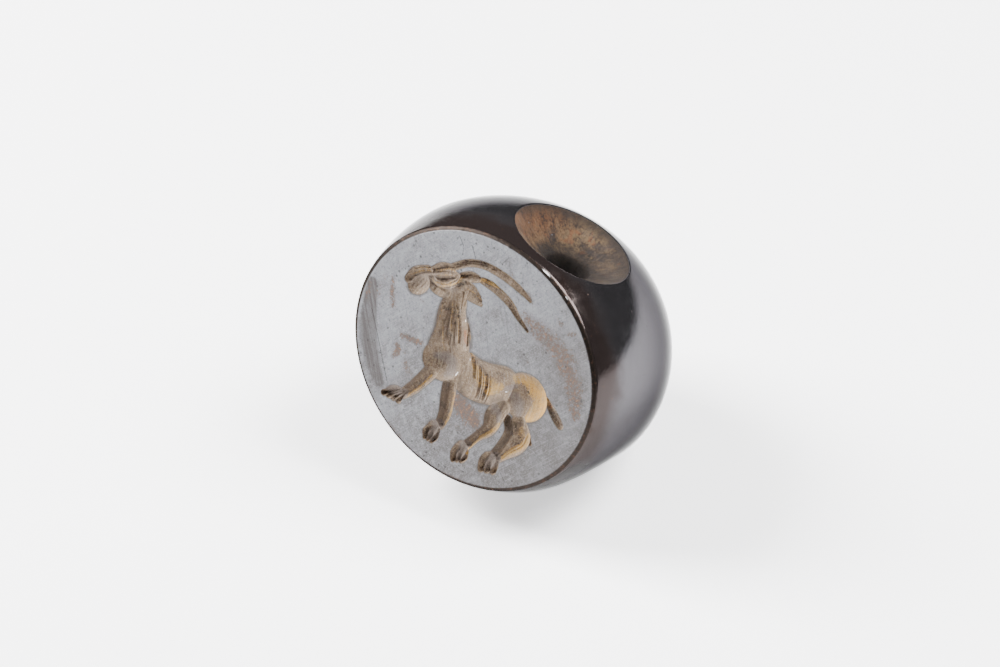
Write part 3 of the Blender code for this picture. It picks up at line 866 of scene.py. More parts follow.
@dataclass
class Goat:
    """The standing goat with long swept-back horns that is cut into the face."""

    drawn_length: float = 13.65
    side_margin: float = 1.87
    line_height: float = 0.12
    strand_height: float = 0.13
    parting_height: float = -0.07
    rib_gap: tuple[float, float] = (0.16, 0.03)
    carving: Carving = field(default_factory=Carving)

    def unit(self, sizes: DomeSizes) -> float:
        """Length of one drawing unit, in millimetres."""
        return 2.0 * (sizes.half_width * sizes.face_share - self.side_margin) / self.drawn_length

    def carve(self) -> Carving:
        """Make all the cuts.

        Returns:
            The carving.
        """
        self.carve_head()
        self.carve_horns()
        self.carve_neck()
        self.carve_body()
        self.carve_forelegs()
        self.carve_hind_legs()
        return self.carving

    def carve_head(self) -> None:
        """Muzzle, brow, cheek, jaw and ear."""
        cut = self.carving
        cut.groove([(-6.18, 1.52, 0.30), (-5.98, 2.18, 0.36), (-5.35, 2.76, 0.36)], 0.34)
        cut.bowl(-5.46, 1.70, 0.86, 0.66, 65, 0.38)
        cut.groove([(-5.00, 3.00, 0.30), (-4.60, 3.52, 0.38), (-4.05, 3.90, 0.30)], 0.34)
        cut.bowl(-4.00, 3.02, 1.12, 0.62, 50, 0.38)
        cut.groove([(-4.95, 2.45, 0.32), (-4.40, 2.15, 0.30), (-3.60, 2.35, 0.40)], 0.33)
        cut.groove([(-2.90, 3.68, 0.28), (-2.20, 3.70, 0.27), (-1.45, 3.45, 0.14)], 0.34)
        cut.groove([(-2.75, 3.18, 0.30), (-2.10, 3.24, 0.30), (-1.30, 3.25, 0.13)], 0.40)
        for line in HEAD_LINES:
            cut.ridge(line, self.line_height)
        for line in HEAD_CUTS:
            cut.ridge(line, self.parting_height)
        for hatch in range(4):
            x = -5.82 + 0.24 * hatch
            cut.ridge([(x + 0.16, 2.05, 0.04), (x, 1.15, 0.05)], -0.035)

    def carve_horns(self) -> None:
        """The two long horns, each with a ridge along it, and the lobe at the inner one's root."""
        cut = self.carving
        outer = [
            (-4.00, 4.10, 0.24), (-3.30, 4.92, 0.24), (-2.30, 5.48, 0.24),
            (-1.00, 5.73, 0.25), (0.40, 5.73, 0.21), (1.35, 5.55, 0.09),
        ]
        inner = [
            (-2.08, 4.55, 0.17), (-1.65, 4.66, 0.26), (-1.00, 4.71, 0.27),
            (0.20, 4.58, 0.25), (1.20, 4.18, 0.17), (2.15, 3.85, 0.08),
        ]
        cut.groove([(-3.20, 4.00, 0.24), (-2.72, 4.30, 0.34), (-2.30, 4.48, 0.25)], 0.38)
        for horn in (outer, inner):
            cut.groove(horn, 0.36)
            cut.ridge([(x, z, 0.06) for x, z, _ in horn[:-1]], 0.10)
        cut.ridge([(-2.95, 4.10, 0.05), (-2.35, 4.42, 0.05)], 0.07)
        cut.ridge([(-1.96, 5.28, 0.05), (-1.84, 5.80, 0.05)], 0.09)

    def carve_neck(self) -> None:
        """A broad trough from the throat to the nape, with strands of mane standing in it."""
        cut = self.carving
        cut.groove([(-3.05, 3.45, 0.45), (-2.75, 2.60, 0.60), (-2.60, 1.80, 0.70)], 0.36)
        throat = [(-2.84, 2.42, 0.78), (-2.60, 1.50, 1.00), (-1.95, 0.45, 1.30), (-1.65, -0.70, 1.44)]
        cut.groove(throat, 0.54)
        cut.groove([(-2.78, 2.95, 0.14), (-2.62, 2.45, 0.18), (-2.45, 1.95, 0.12)], 0.56)
        for strand in MANE_STRANDS:
            cut.ridge(strand, self.strand_height)
        for parting in MANE_PARTINGS:
            cut.ridge(parting, self.parting_height)

    def carve_body(self) -> None:
        """Chest, barrel, ribs, rump and tail."""
        cut = self.carving
        cut.bowl(-1.62, -1.38, 1.48, 1.28, 20, 0.86)
        barrel = [(-0.50, -0.95, 1.25), (0.60, -1.00, 1.35), (1.60, -0.65, 1.32), (2.50, -0.05, 1.20)]
        cut.groove(barrel, 0.60)
        cut.bowl(4.07, 0.22, 1.58, 1.50, 0, 0.92)
        across, up = self.rib_gap
        for line in RIB_CUTS:
            cut.ridge(line, self.parting_height)
            for side in (1, -1):
                beside = [(x + side * across, z + side * up, width) for x, z, width in line]
                cut.ridge(beside, -self.parting_height)
        cut.groove([(5.35, 1.08, 0.14), (6.10, 0.68, 0.26), (6.60, 0.42, 0.27), (6.95, 0.24, 0.22)], 0.32)
        cut.ridge([(5.50, 1.02, 0.05), (6.10, 0.70, 0.06), (6.80, 0.32, 0.05)], 0.07)

    def toes(self, first: list[tuple[float, float]], last: list[tuple[float, float]], count: int = 3) -> None:
        """The split hoof of a foot: blunt cuts that lie against each other."""
        self.carving.strands(first, last, count, (0.62, 0.56, 0.50)[: len(first)], 0.38)

    def carve_forelegs(self) -> None:
        """Two forelegs set forward, each with a split hoof."""
        cut = self.carving
        raised = [(-1.98, -2.50, 0.48), (-2.20, -3.30, 0.45), (-2.45, -4.10, 0.42), (-2.85, -4.95, 0.33)]
        cut.groove(raised, 0.44)
        cut.bowl(-3.42, -5.24, 0.66, 0.42, 40, 0.36)
        self.toes([(-3.30, -5.00), (-3.98, -5.74)], [(-2.84, -5.14), (-2.90, -5.52)], count=4)
        planted = [(-0.45, -2.50, 0.50), (-0.15, -3.30, 0.50), (0.14, -4.10, 0.44), (0.22, -4.95, 0.34)]
        cut.groove(planted, 0.44)
        cut.bowl(-0.02, -5.50, 0.62, 0.47, 88, 0.36)
        self.toes(
            [(-0.25, -5.50), (-0.38, -5.90), (-0.22, -6.34)], [(0.30, -5.40), (0.36, -5.85), (0.28, -6.26)]
        )
        cut.ridge([(-1.75, -2.75, 0.05), (-2.05, -3.70, 0.06), (-2.55, -4.85, 0.05)], 0.08)
        cut.ridge([(0.15, -2.90, 0.05), (0.32, -3.90, 0.06), (0.32, -4.95, 0.05)], 0.08)

    def carve_hind_legs(self) -> None:
        """Two hind legs bent at the hock, each with a split hoof."""
        cut = self.carving
        near = [
            (3.20, -1.25, 0.50), (3.00, -2.10, 0.64), (3.10, -3.00, 0.45),
            (2.72, -3.90, 0.31), (2.40, -4.80, 0.32),
        ]
        cut.groove(near, 0.46)
        cut.bowl(2.22, -5.38, 0.68, 0.50, 84, 0.36)
        self.toes(
            [(1.92, -5.40), (1.90, -5.85), (2.08, -6.30)], [(2.58, -5.30), (2.66, -5.65), (2.58, -5.98)]
        )
        thigh = [
            (4.55, -1.35, 0.50), (5.18, -2.00, 0.60), (5.15, -2.75, 0.55),
            (4.80, -3.60, 0.38), (4.48, -4.40, 0.26),
        ]
        cut.groove(thigh, 0.44)
        cut.groove([(3.80, -1.65, 0.28), (4.30, -2.30, 0.30), (4.32, -3.30, 0.28), (4.20, -4.20, 0.28)], 0.46)
        cut.groove([(5.55, -1.65, 0.14), (5.90, -2.02, 0.10)], 0.24)
        cut.bowl(4.18, -4.62, 0.62, 0.48, 84, 0.36)
        self.toes(
            [(3.84, -4.50), (3.78, -5.00), (3.94, -5.54)], [(4.52, -4.30), (4.62, -4.72), (4.70, -5.14)]
        )
        shins = (
            [(3.35, -1.75, 0.06), (3.40, -2.60, 0.07), (2.98, -3.60, 0.06), (2.62, -4.70, 0.05)],
            [(5.30, -1.90, 0.06), (5.35, -2.60, 0.07), (4.95, -3.40, 0.06), (4.62, -4.20, 0.05)],
        )
        for shin, height in zip(shins, (0.09, 0.08)):
            cut.ridge(shin, height)


class Net:
    """Points and faces of one closed surface, with a number for each zone on each point."""

    def __init__(self) -> None:
        """Start empty."""
        self.places: list[np.ndarray] = []
        self.layers: dict[Zone, list[np.ndarray]] = {zone: [] for zone in Zone}
        self.faces: list[tuple[int, ...]] = []
        self.count = 0

    def add(self, places: np.ndarray, zones: dict[Zone, object]) -> np.ndarray:
        """Add points.

        Args:
            places: Their places, or their directions on the dome.
            zones: Numbers of the zones that aren't 0 there.

        Returns:
            Their numbers in the net.
        """
        size = len(places)
        self.places.append(np.asarray(places, dtype=float))
        for zone in Zone:
            self.layers[zone].append(np.broadcast_to(zones.get(zone, 0.0), (size,)))
        self.count += size
        return np.arange(self.count - size, self.count)

    def band(self, loop: np.ndarray, next_loop: np.ndarray) -> None:
        """Join two closed loops of as many points by quads."""
        after, next_after = np.roll(loop, -1), np.roll(next_loop, -1)
        self.faces.extend(zip(loop.tolist(), after.tolist(), next_after.tolist(), next_loop.tolist()))

    def fill(
        self, numbers: np.ndarray, flat: np.ndarray, loops: list[np.ndarray], holes: list[np.ndarray]
    ) -> None:
        """Fill between loops with triangles.

        Args:
            numbers: The net's numbers of all the points.
            flat: Their places on a flat map.
            loops: Rows of flat that form closed lines, whose edges are kept.
            holes: Those of the loops that stay open.
        """
        edges = [pair for loop in loops for pair in zip(loop.tolist(), np.roll(loop, -1).tolist())]
        found = delaunay_2d_cdt([Vector(place) for place in flat], edges, [], 0, 1e-7)
        triangles = np.array(found[2])
        origins = found[3]
        if max(len(group) for group in origins) > 1 or len(origins) != len(flat):
            raise ValueError("two points of the net fell together")
        first = np.array([group[0] for group in origins])
        triangles = first[triangles]
        for hole in holes:
            inside = np.isin(triangles, hole).all(axis=1)
            triangles = triangles[~inside]
        self.faces.extend(map(tuple, numbers[triangles].tolist()))

    def mesh(self, name: str) -> bpy.types.Mesh:
        """The net as a mesh whose faces look outwards.

        Args:
            name: The mesh's name.

        Returns:
            The mesh.
        """
        made = bpy.data.meshes.new(name)
        made.from_pydata(np.concatenate(self.places).tolist(), [], self.faces)
        for zone, numbers in self.layers.items():
            layer = made.attributes.new(zone.value, "FLOAT", "POINT")
            layer.data.foreach_set("value", np.concatenate(numbers))
        return made


def fade(distance: float, reach: float) -> float:
    """A number that falls from 1 to 0 over a distance."""
    return max(0.0, 1.0 - distance / reach)


def put_in_scene(name: str, data: bpy.types.ID) -> bpy.types.Object:
    """An object with some data, linked to the scene at the origin."""
    made = bpy.data.objects.new(name, data)
    bpy.context.scene.collection.objects.link(made)
    return made


@dataclass
class SealStone:
    """The stone: its face with the goat, the worn rim, the dome and the bore."""

    sizes: DomeSizes = field(default_factory=DomeSizes)
    goat: Goat = field(default_factory=Goat)
    marks: FaceMarks = field(default_factory=FaceMarks)
    fine_cell: float = 0.043
    plain_cell: float = 0.17
    dome_cell: float = 0.27
    dirt_reach: float = 0.22
    face_margin: float = 0.12
    collar_margin: float = 0.010
    grid_shift: float = 0.08
    rim_points: int = 560
    rim_insets: tuple[float, ...] = (0.60, 0.44, 0.33, 0.25, 0.19, 0.16, 0.14)
    rim_drops: tuple[float, ...] = (0.14, 0.18, 0.23, 0.29, 0.36)
    inset_wear: float = 0.35
    inset_softness: float = 0.06
    drop_wear: float = 0.25
    drop_softness: float = 0.10
    bore_points: int = 200
    bore_behind_face: float = 4.85
    bore_sidestep: float = 0.12
    hole_sidestep: float = 0.45
    throat_radius: float = 1.05
    hole_radius: float = 1.40
    mouth_radius: float = 3.95
    mouth_depth: float = 1.75
    mouth_slope: float = 1.7
    outline_span: tuple[float, float] = (0.5, 1.25)
    outline_tries: int = 30
    collar_gaps: tuple[float, ...] = (0.40, 0.30, 0.21, 0.14, 0.09, 0.05, 0.02)
    collar_wear: float = 0.35
    collar_wear_reach: float = 0.25
    collar_softness: float = 0.2
    dish_softness: tuple[float, float] = (0.06, 0.05)
    crust_start: float = 0.03
    dish_start: tuple[float, ...] = (0.006, 0.02, 0.045, 0.08, 0.12)
    dish_rings: tuple[float, float, int] = (0.17, 0.93, 22)
    dish_end: tuple[float, ...] = (0.96, 0.985, 1.0)
    hole_shares: tuple[float, ...] = (0.03, 0.08, 0.15, 0.24, 0.35, 0.48, 0.62, 0.76, 0.88, 1.0)
    seed: int = 7

    def build(self, material: bpy.types.Material) -> bpy.types.Object:
        """Make the finished stone.

        Args:
            material: Its finish.

        Returns:
            The stone's object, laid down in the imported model's frame.
        """
        net = Net()
        face_loop, dome_loop = self.add_rim(net)
        self.add_face(net, face_loop)
        collars = [self.add_bore_end(net, side) for side in (1, -1)]
        net.band(collars[0][1], collars[1][1])
        self.add_dome(net, dome_loop, [collar[0] for collar in collars])
        blank = put_in_scene("stone_net", net.mesh("stone_net"))
        shaped = self.shape(blank, material)
        bpy.data.objects.remove(blank)
        return self.lay_down(shaped)

    def rim_turns(self) -> np.ndarray:
        """Angles of the rim's points about the face's middle."""
        return np.linspace(0.0, math.tau, self.rim_points, endpoint=False)

    def add_rim(self, net: Net) -> tuple[np.ndarray, np.ndarray]:
        """Add the band of fine rings over the worn rim of the face.

        Args:
            net: The net to add to.

        Returns:
            The band's inner loop on the face and its outer loop on the dome.
        """
        turns = self.rim_turns()
        sizes = self.sizes
        loops = []
        for inset in self.rim_insets:
            across = sizes.face_share * sizes.half_width - inset
            up = sizes.face_share * sizes.half_height - inset * sizes.half_height / sizes.half_width
            places = np.stack([across * np.cos(turns), np.zeros(turns.shape), up * np.sin(turns)], -1)
            worn = fade(inset - sizes.edge_wear, self.inset_wear)
            marks = self.marks.paint(places[:, 0], places[:, 2])
            soft = fade(inset - sizes.edge_wear, self.inset_softness)
            loops.append(net.add(places, {Zone.FACE: 1.0, Zone.EDGE: worn, Zone.SOFT: soft, **marks}))
        for drop in self.rim_drops:
            worn = fade(drop - sizes.edge_wear, self.drop_wear)
            direction = sizes.rim_direction(turns, drop)
            marks = self.marks.paint(*(direction * sizes.radii)[:, (0, 2)].T)
            soft = fade(drop - sizes.edge_wear, self.drop_softness)
            loops.append(net.add(direction, {Zone.DOME: 1.0, Zone.EDGE: worn, Zone.SOFT: soft, **marks}))
        for loop, next_loop in zip(loops, loops[1:]):
            net.band(loop, next_loop)
        return loops[0], loops[-1]

    def add_face(self, net: Net, rim: np.ndarray) -> None:
        """Add the flat ground of the face and the goat cut into it.

        Args:
            net: The net to add to.
            rim: The loop that bounds the face.
        """
        unit = self.goat.unit(self.sizes)
        carving = self.goat.carve()
        chance = np.random.default_rng(self.seed)
        edge = net.places[0][:, (0, 2)]
        half_width, half_height = edge[:, 0].max(), edge[:, 1].max()
        fine = self.grid(self.fine_cell, half_width, half_height, chance)
        depth = carving.depth(fine[:, 0] / unit, fine[:, 1] / unit) * unit
        fine, depth = fine[depth > -self.dirt_reach], depth[depth > -self.dirt_reach]
        plain = self.grid(self.plain_cell, half_width, half_height, chance)
        ground = carving.depth(plain[:, 0] / unit, plain[:, 1] / unit) * unit
        plain, ground = plain[ground <= -self.dirt_reach], ground[ground <= -self.dirt_reach]
        flat = np.vstack([fine, plain])
        deep = np.concatenate([depth, ground])
        room = np.array([half_width, half_height]) - self.face_margin
        inside = ((flat / room) ** 2).sum(axis=1) < 1.0
        flat, deep = flat[inside], deep[inside]
        halo = np.clip(1.0 + deep / self.dirt_reach, 0.0, 1.0)
        deep = np.maximum(deep, 0.0)
        places = np.stack([flat[:, 0], deep, flat[:, 1]], -1)
        marks = self.marks.paint(flat[:, 0], flat[:, 1])
        numbers = net.add(places, {Zone.FACE: 1.0, Zone.CUT: deep, Zone.HALO: halo, **marks})
        every = np.concatenate([rim, numbers])
        loop = np.arange(len(rim))
        net.fill(every, np.vstack([edge, flat]), [loop], [])
        log.info("face: %d points, deepest cut %.2f mm", len(numbers), deep.max())

    def grid(
        self, cell: float, half_width: float, half_height: float, chance: np.random.Generator
    ) -> np.ndarray:
        """Points in staggered rows, each a little out of line.

        Args:
            cell: Distance between two points.
            half_width: Half the width of the oval they fill.
            half_height: Half its height.
            chance: Where the small shifts come from.

        Returns:
            Rows of x and z.
        """
        columns = np.arange(-half_width, half_width, cell)
        rows = np.arange(-half_height, half_height, cell * math.sqrt(0.75))
        x, z = np.meshgrid(columns, rows)
        x = x + 0.5 * cell * (np.arange(len(rows)) % 2)[:, None]
        points = np.stack([x.ravel(), z.ravel()], -1)
        return points + chance.uniform(-self.grid_shift, self.grid_shift, points.shape) * cell

    def dish(self, radius: np.ndarray) -> np.ndarray:
        """Depth of a mouth's dish below its rim, at distances from the mouths' axis."""
        return self.mouth_depth * (1.0 - (radius / self.mouth_radius) ** self.mouth_slope)

    def reach(self, plan: np.ndarray) -> np.ndarray:
        """Half height of the dome at places across the bore.

        Args:
            plan: Places from the mouths' axis, across and behind.

        Returns:
            Heights.
        """
        places = plan + self.axis_place()
        across = places[:, 0] / self.sizes.half_width
        behind = (places[:, 1] - self.sizes.face_to_widest) / self.sizes.crown_reach
        return self.sizes.half_height * np.sqrt(np.maximum(1.0 - across**2 - behind**2, 0.0))

    def axis_place(self) -> np.ndarray:
        """Where the mouths' axis runs, across the stone and behind its face."""
        return np.array([self.bore_sidestep, self.bore_behind_face])

    def rim_height(self) -> float:
        """Mean distance from the middle of the bore to the rim of a mouth."""
        radius = self.mouth_radius
        plan = np.array([(radius, 0.0), (-radius, 0.0), (0.0, radius), (0.0, -radius)])
        return float(self.reach(plan).mean())

    def mouth_outline(self, around: np.ndarray) -> np.ndarray:
        """Distance from the mouths' axis at which the dish meets the dome, all round.

        Args:
            around: Unit directions across the bore.

        Returns:
            Distances.
        """
        height = self.rim_height()
        low, high = (np.full(len(around), share * self.mouth_radius) for share in self.outline_span)
        for _ in range(self.outline_tries):
            middle = (low + high) / 2.0
            inside = height - self.dish(middle) < self.reach(around * middle[:, None])
            low, high = np.where(inside, middle, low), np.where(inside, high, middle)
        return low

    def on_bore(self, plan: np.ndarray, height: np.ndarray, side: int) -> np.ndarray:
        """Places in the stone's frame for places across the bore at some heights."""
        return np.column_stack([plan + self.axis_place(), side * height])

    def add_bore_end(self, net: Net, side: int) -> tuple[np.ndarray, np.ndarray]:
        """Add a collar on the dome, the mouth's dish and half of the drilled hole.

        Args:
            net: The net to add to.
            side: 1 for the upper mouth, -1 for the lower one.

        Returns:
            The collar's outer loop and the hole's loop at the throat.
        """
        turns = np.linspace(0.0, math.tau, self.bore_points, endpoint=False)
        around = np.column_stack([np.cos(turns), np.sin(turns)])
        outline = self.mouth_outline(around)
        hole_place = np.array([self.hole_sidestep, 0.0])
        loops = []
        for gap in self.collar_gaps:
            plan = around * (outline + gap)[:, None]
            places = self.on_bore(plan, self.reach(plan), side)
            direction = (places - self.sizes.middle) / self.sizes.radii
            worn = self.collar_wear * fade(gap, self.collar_wear_reach)
            soft = fade(gap, self.collar_softness)
            loops.append(net.add(direction, {Zone.DOME: 1.0, Zone.EDGE: worn, Zone.SOFT: soft}))
        height = self.rim_height()
        hole = around * self.hole_radius + hole_place
        for share in self.dish_shares():
            plan = around * outline[:, None] * (1.0 - share) + hole * share
            up = height - self.dish(np.hypot(*plan.T))
            soft = fade(share, self.dish_softness[0]) + fade(1.0 - share, self.dish_softness[1])
            zones = {Zone.MOUTH: 1.0 - fade(share, self.crust_start), Zone.SOFT: soft}
            loops.append(net.add(self.on_bore(plan, up, side), zones))
        opening = height - self.dish(np.hypot(*hole.T))
        top = height - self.dish(np.array([self.hole_radius]))[0]
        for share in self.hole_shares:
            up = opening * (1.0 - share)
            radius = self.throat_radius + (self.hole_radius - self.throat_radius) * np.minimum(up / top, 1.0)
            plan = around * radius[:, None] + hole_place
            zones = {Zone.MOUTH: 1.0, Zone.SOFT: fade(share, self.dish_softness[0])}
            loops.append(net.add(self.on_bore(plan, up, side), zones))
        if side < 0:
            loops.pop()
        for loop, next_loop in zip(loops, loops[1:]):
            net.band(loop, next_loop)
        return loops[0], loops[-1]

    def dish_shares(self) -> list[float]:
        """Shares of the way from a mouth's rim to the hole at which the dish has a ring."""
        return [*self.dish_start, *np.linspace(*self.dish_rings).tolist(), *self.dish_end]

    @staticmethod
    def flat_map(directions: np.ndarray) -> np.ndarray:
        """Directions on a flat map that keeps their angles, with the crown in its middle."""
        unit = directions / np.linalg.norm(directions, axis=1, keepdims=True)
        return unit[:, (0, 2)] / (1.0 + unit[:, 1:2])

    def add_dome(self, net: Net, rim: np.ndarray, collars: list[np.ndarray]) -> None:
        """Add the dome between the rim and the bore's two collars.

        Args:
            net: The net to add to.
            rim: The loop at the rim of the face.
            collars: The outer loops round the two mouths.
        """
        sizes = self.sizes
        every_place = np.concatenate(net.places)
        behind = math.asin(sizes.face_to_widest / sizes.crown_reach)
        end = math.pi / 2.0 + behind - self.rim_drops[-1] / sizes.crown_reach
        rings = round(end * sizes.half_width / self.dome_cell)
        directions = [np.array([[0.0, 1.0, 0.0]])]
        for ring in range(1, rings):
            polar = end * ring / rings
            count = max(6, round(math.tau * math.sin(polar) * sizes.half_width / self.dome_cell))
            turns = np.linspace(0.0, math.tau, count, endpoint=False) + 0.5 * ring
            across = math.sin(polar)
            up = np.full(count, math.cos(polar))
            directions.append(np.stack([across * np.cos(turns), up, across * np.sin(turns)], -1))
        inner = np.vstack(directions)
        map_places = self.flat_map(inner)
        for collar in collars:
            outline = self.flat_map(every_place[collar])
            middle = outline.mean(axis=0)
            around = np.arctan2(outline[:, 1] - middle[1], outline[:, 0] - middle[0])
            order = np.argsort(around)
            far = np.hypot(*(outline - middle).T)
            turn = np.arctan2(map_places[:, 1] - middle[1], map_places[:, 0] - middle[0])
            limit = np.interp(turn, around[order], far[order], period=math.tau)
            keep = np.hypot(*(map_places - middle).T) > limit + self.collar_margin
            inner, map_places = inner[keep], map_places[keep]
        numbers = net.add(inner, {Zone.DOME: 1.0})
        every = np.concatenate([rim, *collars, numbers])
        flat = np.vstack([self.flat_map(every_place[loop]) for loop in (rim, *collars)] + [map_places])
        ends = np.cumsum([0, len(rim), *(len(collar) for collar in collars)])
        loops = [np.arange(start, stop) for start, stop in zip(ends, ends[1:])]
        net.fill(every, flat, loops, loops[1:])
        log.info("dome: %d points between the rim and the bore", len(numbers))

    def wear(self, material: bpy.types.Material) -> dict[str, object]:
        """Value of each input of the tree that shapes the net, with depths in millimetres.

        Args:
            material: The finish that the tree sets.

        Returns:
            The values by name.
        """
        sizes = self.sizes
        values = {
            "Half Width": sizes.half_width,
            "Crown Reach": sizes.crown_reach,
            "Half Height": sizes.half_height,
            "Face To Widest": sizes.face_to_widest,
            "Edge Softness": 0.9,
            "Chip Depth": 0.035,
            "Crust Depth": 0.09,
            "Earth Depth": 0.055,
            "Seed": float(self.seed),
            "Material": material,
        }
        for name, swell in (("Flat Side", sizes.flat_side), ("Full Side", sizes.full_side)):
            values |= {name: swell.towards, f"{name} Height": swell.height, f"{name} Spread": swell.spread}
        return values

    def shape(self, blank: bpy.types.Object, material: bpy.types.Material) -> bpy.types.Mesh:
        """Bend the net into the egg, round its worn edges and roughen its crust.

        Args:
            blank: The object that carries the net.
            material: The finish that the tree sets.

        Returns:
            The shaped mesh, in the stone's own frame.
        """
        tree = ShapeTree("egg_and_wear")
        values = self.wear(material)
        wires = tree.add_inputs(values)
        place = tree.node("GeometryNodeInputPosition", {}, {}).out()
        unit = place.maths("NORMALIZE")
        radii = tree.combine(wires["Half Width"], wires["Crown Reach"], wires["Half Height"])
        egg = unit * radii + tree.combine(0.0, wires["Face To Widest"], 0.0)
        behind_face = (egg.parts()[1] / wires["Face To Widest"]).at_most(1.0)
        for name in ("Flat Side", "Full Side"):
            towards = wires[name].maths("NORMALIZE")
            breadth = 1.0 - wires[f"{name} Spread"].maths("RADIANS").maths("COSINE")
            near = ((unit.dot(towards) - 1.0) / breadth).maths("EXPONENT")
            level = (towards * (1.0, 0.0, 1.0)).maths("NORMALIZE")
            egg = egg + level.times(near * behind_face * wires[f"{name} Height"])
        on_dome = tree.layer(Zone.DOME).maths("GREATER_THAN", 0.5)
        bent = tree.moved(wires["Geometry"], {"Selection": on_dome, "Position": egg})
        soft = tree.layer(Zone.SOFT) * wires["Edge Softness"]
        fresh = tree.node("GeometryNodeInputPosition", {}, {}).out()
        blurred = tree.node(
            "GeometryNodeBlurAttribute", {"data_type": "FLOAT_VECTOR"}, {"Iterations": 6, "Weight": soft}
        )
        vector_input = next(item for item in blurred.node.inputs if item.enabled and item.type == "VECTOR")
        tree.tree.links.new(fresh.socket, vector_input)
        smooth = Wire(tree, next(item for item in blurred.node.outputs if item.enabled))
        rounded = tree.moved(bent, {"Position": smooth})
        chips = self.lumps(tree, fresh, wires["Seed"], 1.6, 4.0).step(0.56, 0.72)
        nicks = self.lumps(tree, fresh, wires["Seed"], 5.0, 2.0).step(0.55, 0.75)
        crust = self.lumps(tree, fresh, wires["Seed"], 2.6, 5.0) - 0.5
        earth = self.lumps(tree, fresh, wires["Seed"], 4.5, 3.0) - 0.5
        push = (chips + nicks * 0.5) * tree.layer(Zone.EDGE) * wires["Chip Depth"] * -1.0
        push = push + crust * tree.layer(Zone.MOUTH) * wires["Crust Depth"]
        push = push + earth * tree.layer(Zone.CUT).step(0.06, 0.24) * wires["Earth Depth"]
        normal = tree.node("GeometryNodeInputNormal", {}, {}).out()
        tree.finish(tree.moved(rounded, {"Offset": normal.times(push)}), wires["Material"])
        return tree.apply(blank, values)

    @staticmethod
    def lumps(tree: ShapeTree, place: Wire, seed: Wire, scale: float, detail: float) -> Wire:
        """Seeded noise on the stone, from 0 to 1.

        Args:
            tree: The tree it is added to.
            place: Where it is read.
            seed: The fixed seed.
            scale: Lumps per millimetre.
            detail: Octaves.

        Returns:
            The noise.
        """
        return tree.node(
            "ShaderNodeTexNoise",
            {"noise_dimensions": "4D"},
            {"Vector": place, "W": seed, "Scale": scale, "Detail": detail},
        ).out(0)

    def lay_down(self, shaped: bpy.types.Mesh) -> bpy.types.Object:
        """Give the shaped mesh its own places as a layer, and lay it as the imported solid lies.

        Args:
            shaped: The mesh in the stone's own frame.

        Returns:
            The finished object.
        """
        count = len(shaped.vertices)
        places = np.empty(count * 3)
        shaped.vertices.foreach_get("co", places)
        layer = shaped.attributes.new(PLACE_LAYER, "FLOAT_VECTOR", "POINT")
        layer.data.foreach_set("vector", places)
        shaped.transform(self.sizes.pose())
        form = bmesh.new()
        form.from_mesh(shaped)
        for vert in form.verts:
            vert.co.z = max(vert.co.z, 0.0)
        bmesh.ops.recalc_face_normals(form, faces=form.faces)
        open_edges = sum(1 for edge in form.edges if not edge.is_manifold)
        form.to_mesh(shaped)
        form.free()
        shaped.shade_smooth()
        shaped.set_sharp_from_angle(angle=math.radians(SHARP_ANGLE))
        log.info("stone: %d faces, %d open edges", len(shaped.polygons), open_edges)
        shaped.name = "carved_stone"
        return put_in_scene("carved_stone", shaped)


@dataclass(frozen=True)
class Coat:
    """A finish's colour, roughness, height in millimetres and metallic share at every place."""

    colour: Wire
    roughness: Wire
    height: Wire
    metal: Wire | float = 0.0

    def under(self, tree: ShaderTree, over: "Coat", share: Wire) -> "Coat":
        """This coat with another laid over a share of it.

        Args:
            tree: The material's tree.
            over: The coat on top.
            share: How much of it covers, from 0 to 1.

        Returns:
            The two together.
        """
        return Coat(
            tree.mix(share, self.colour, over.colour),
            self.roughness + (over.roughness - self.roughness) * share,
            self.height + (over.height - self.height) * share,
            self.metal + share * (over.metal - self.metal),
        )


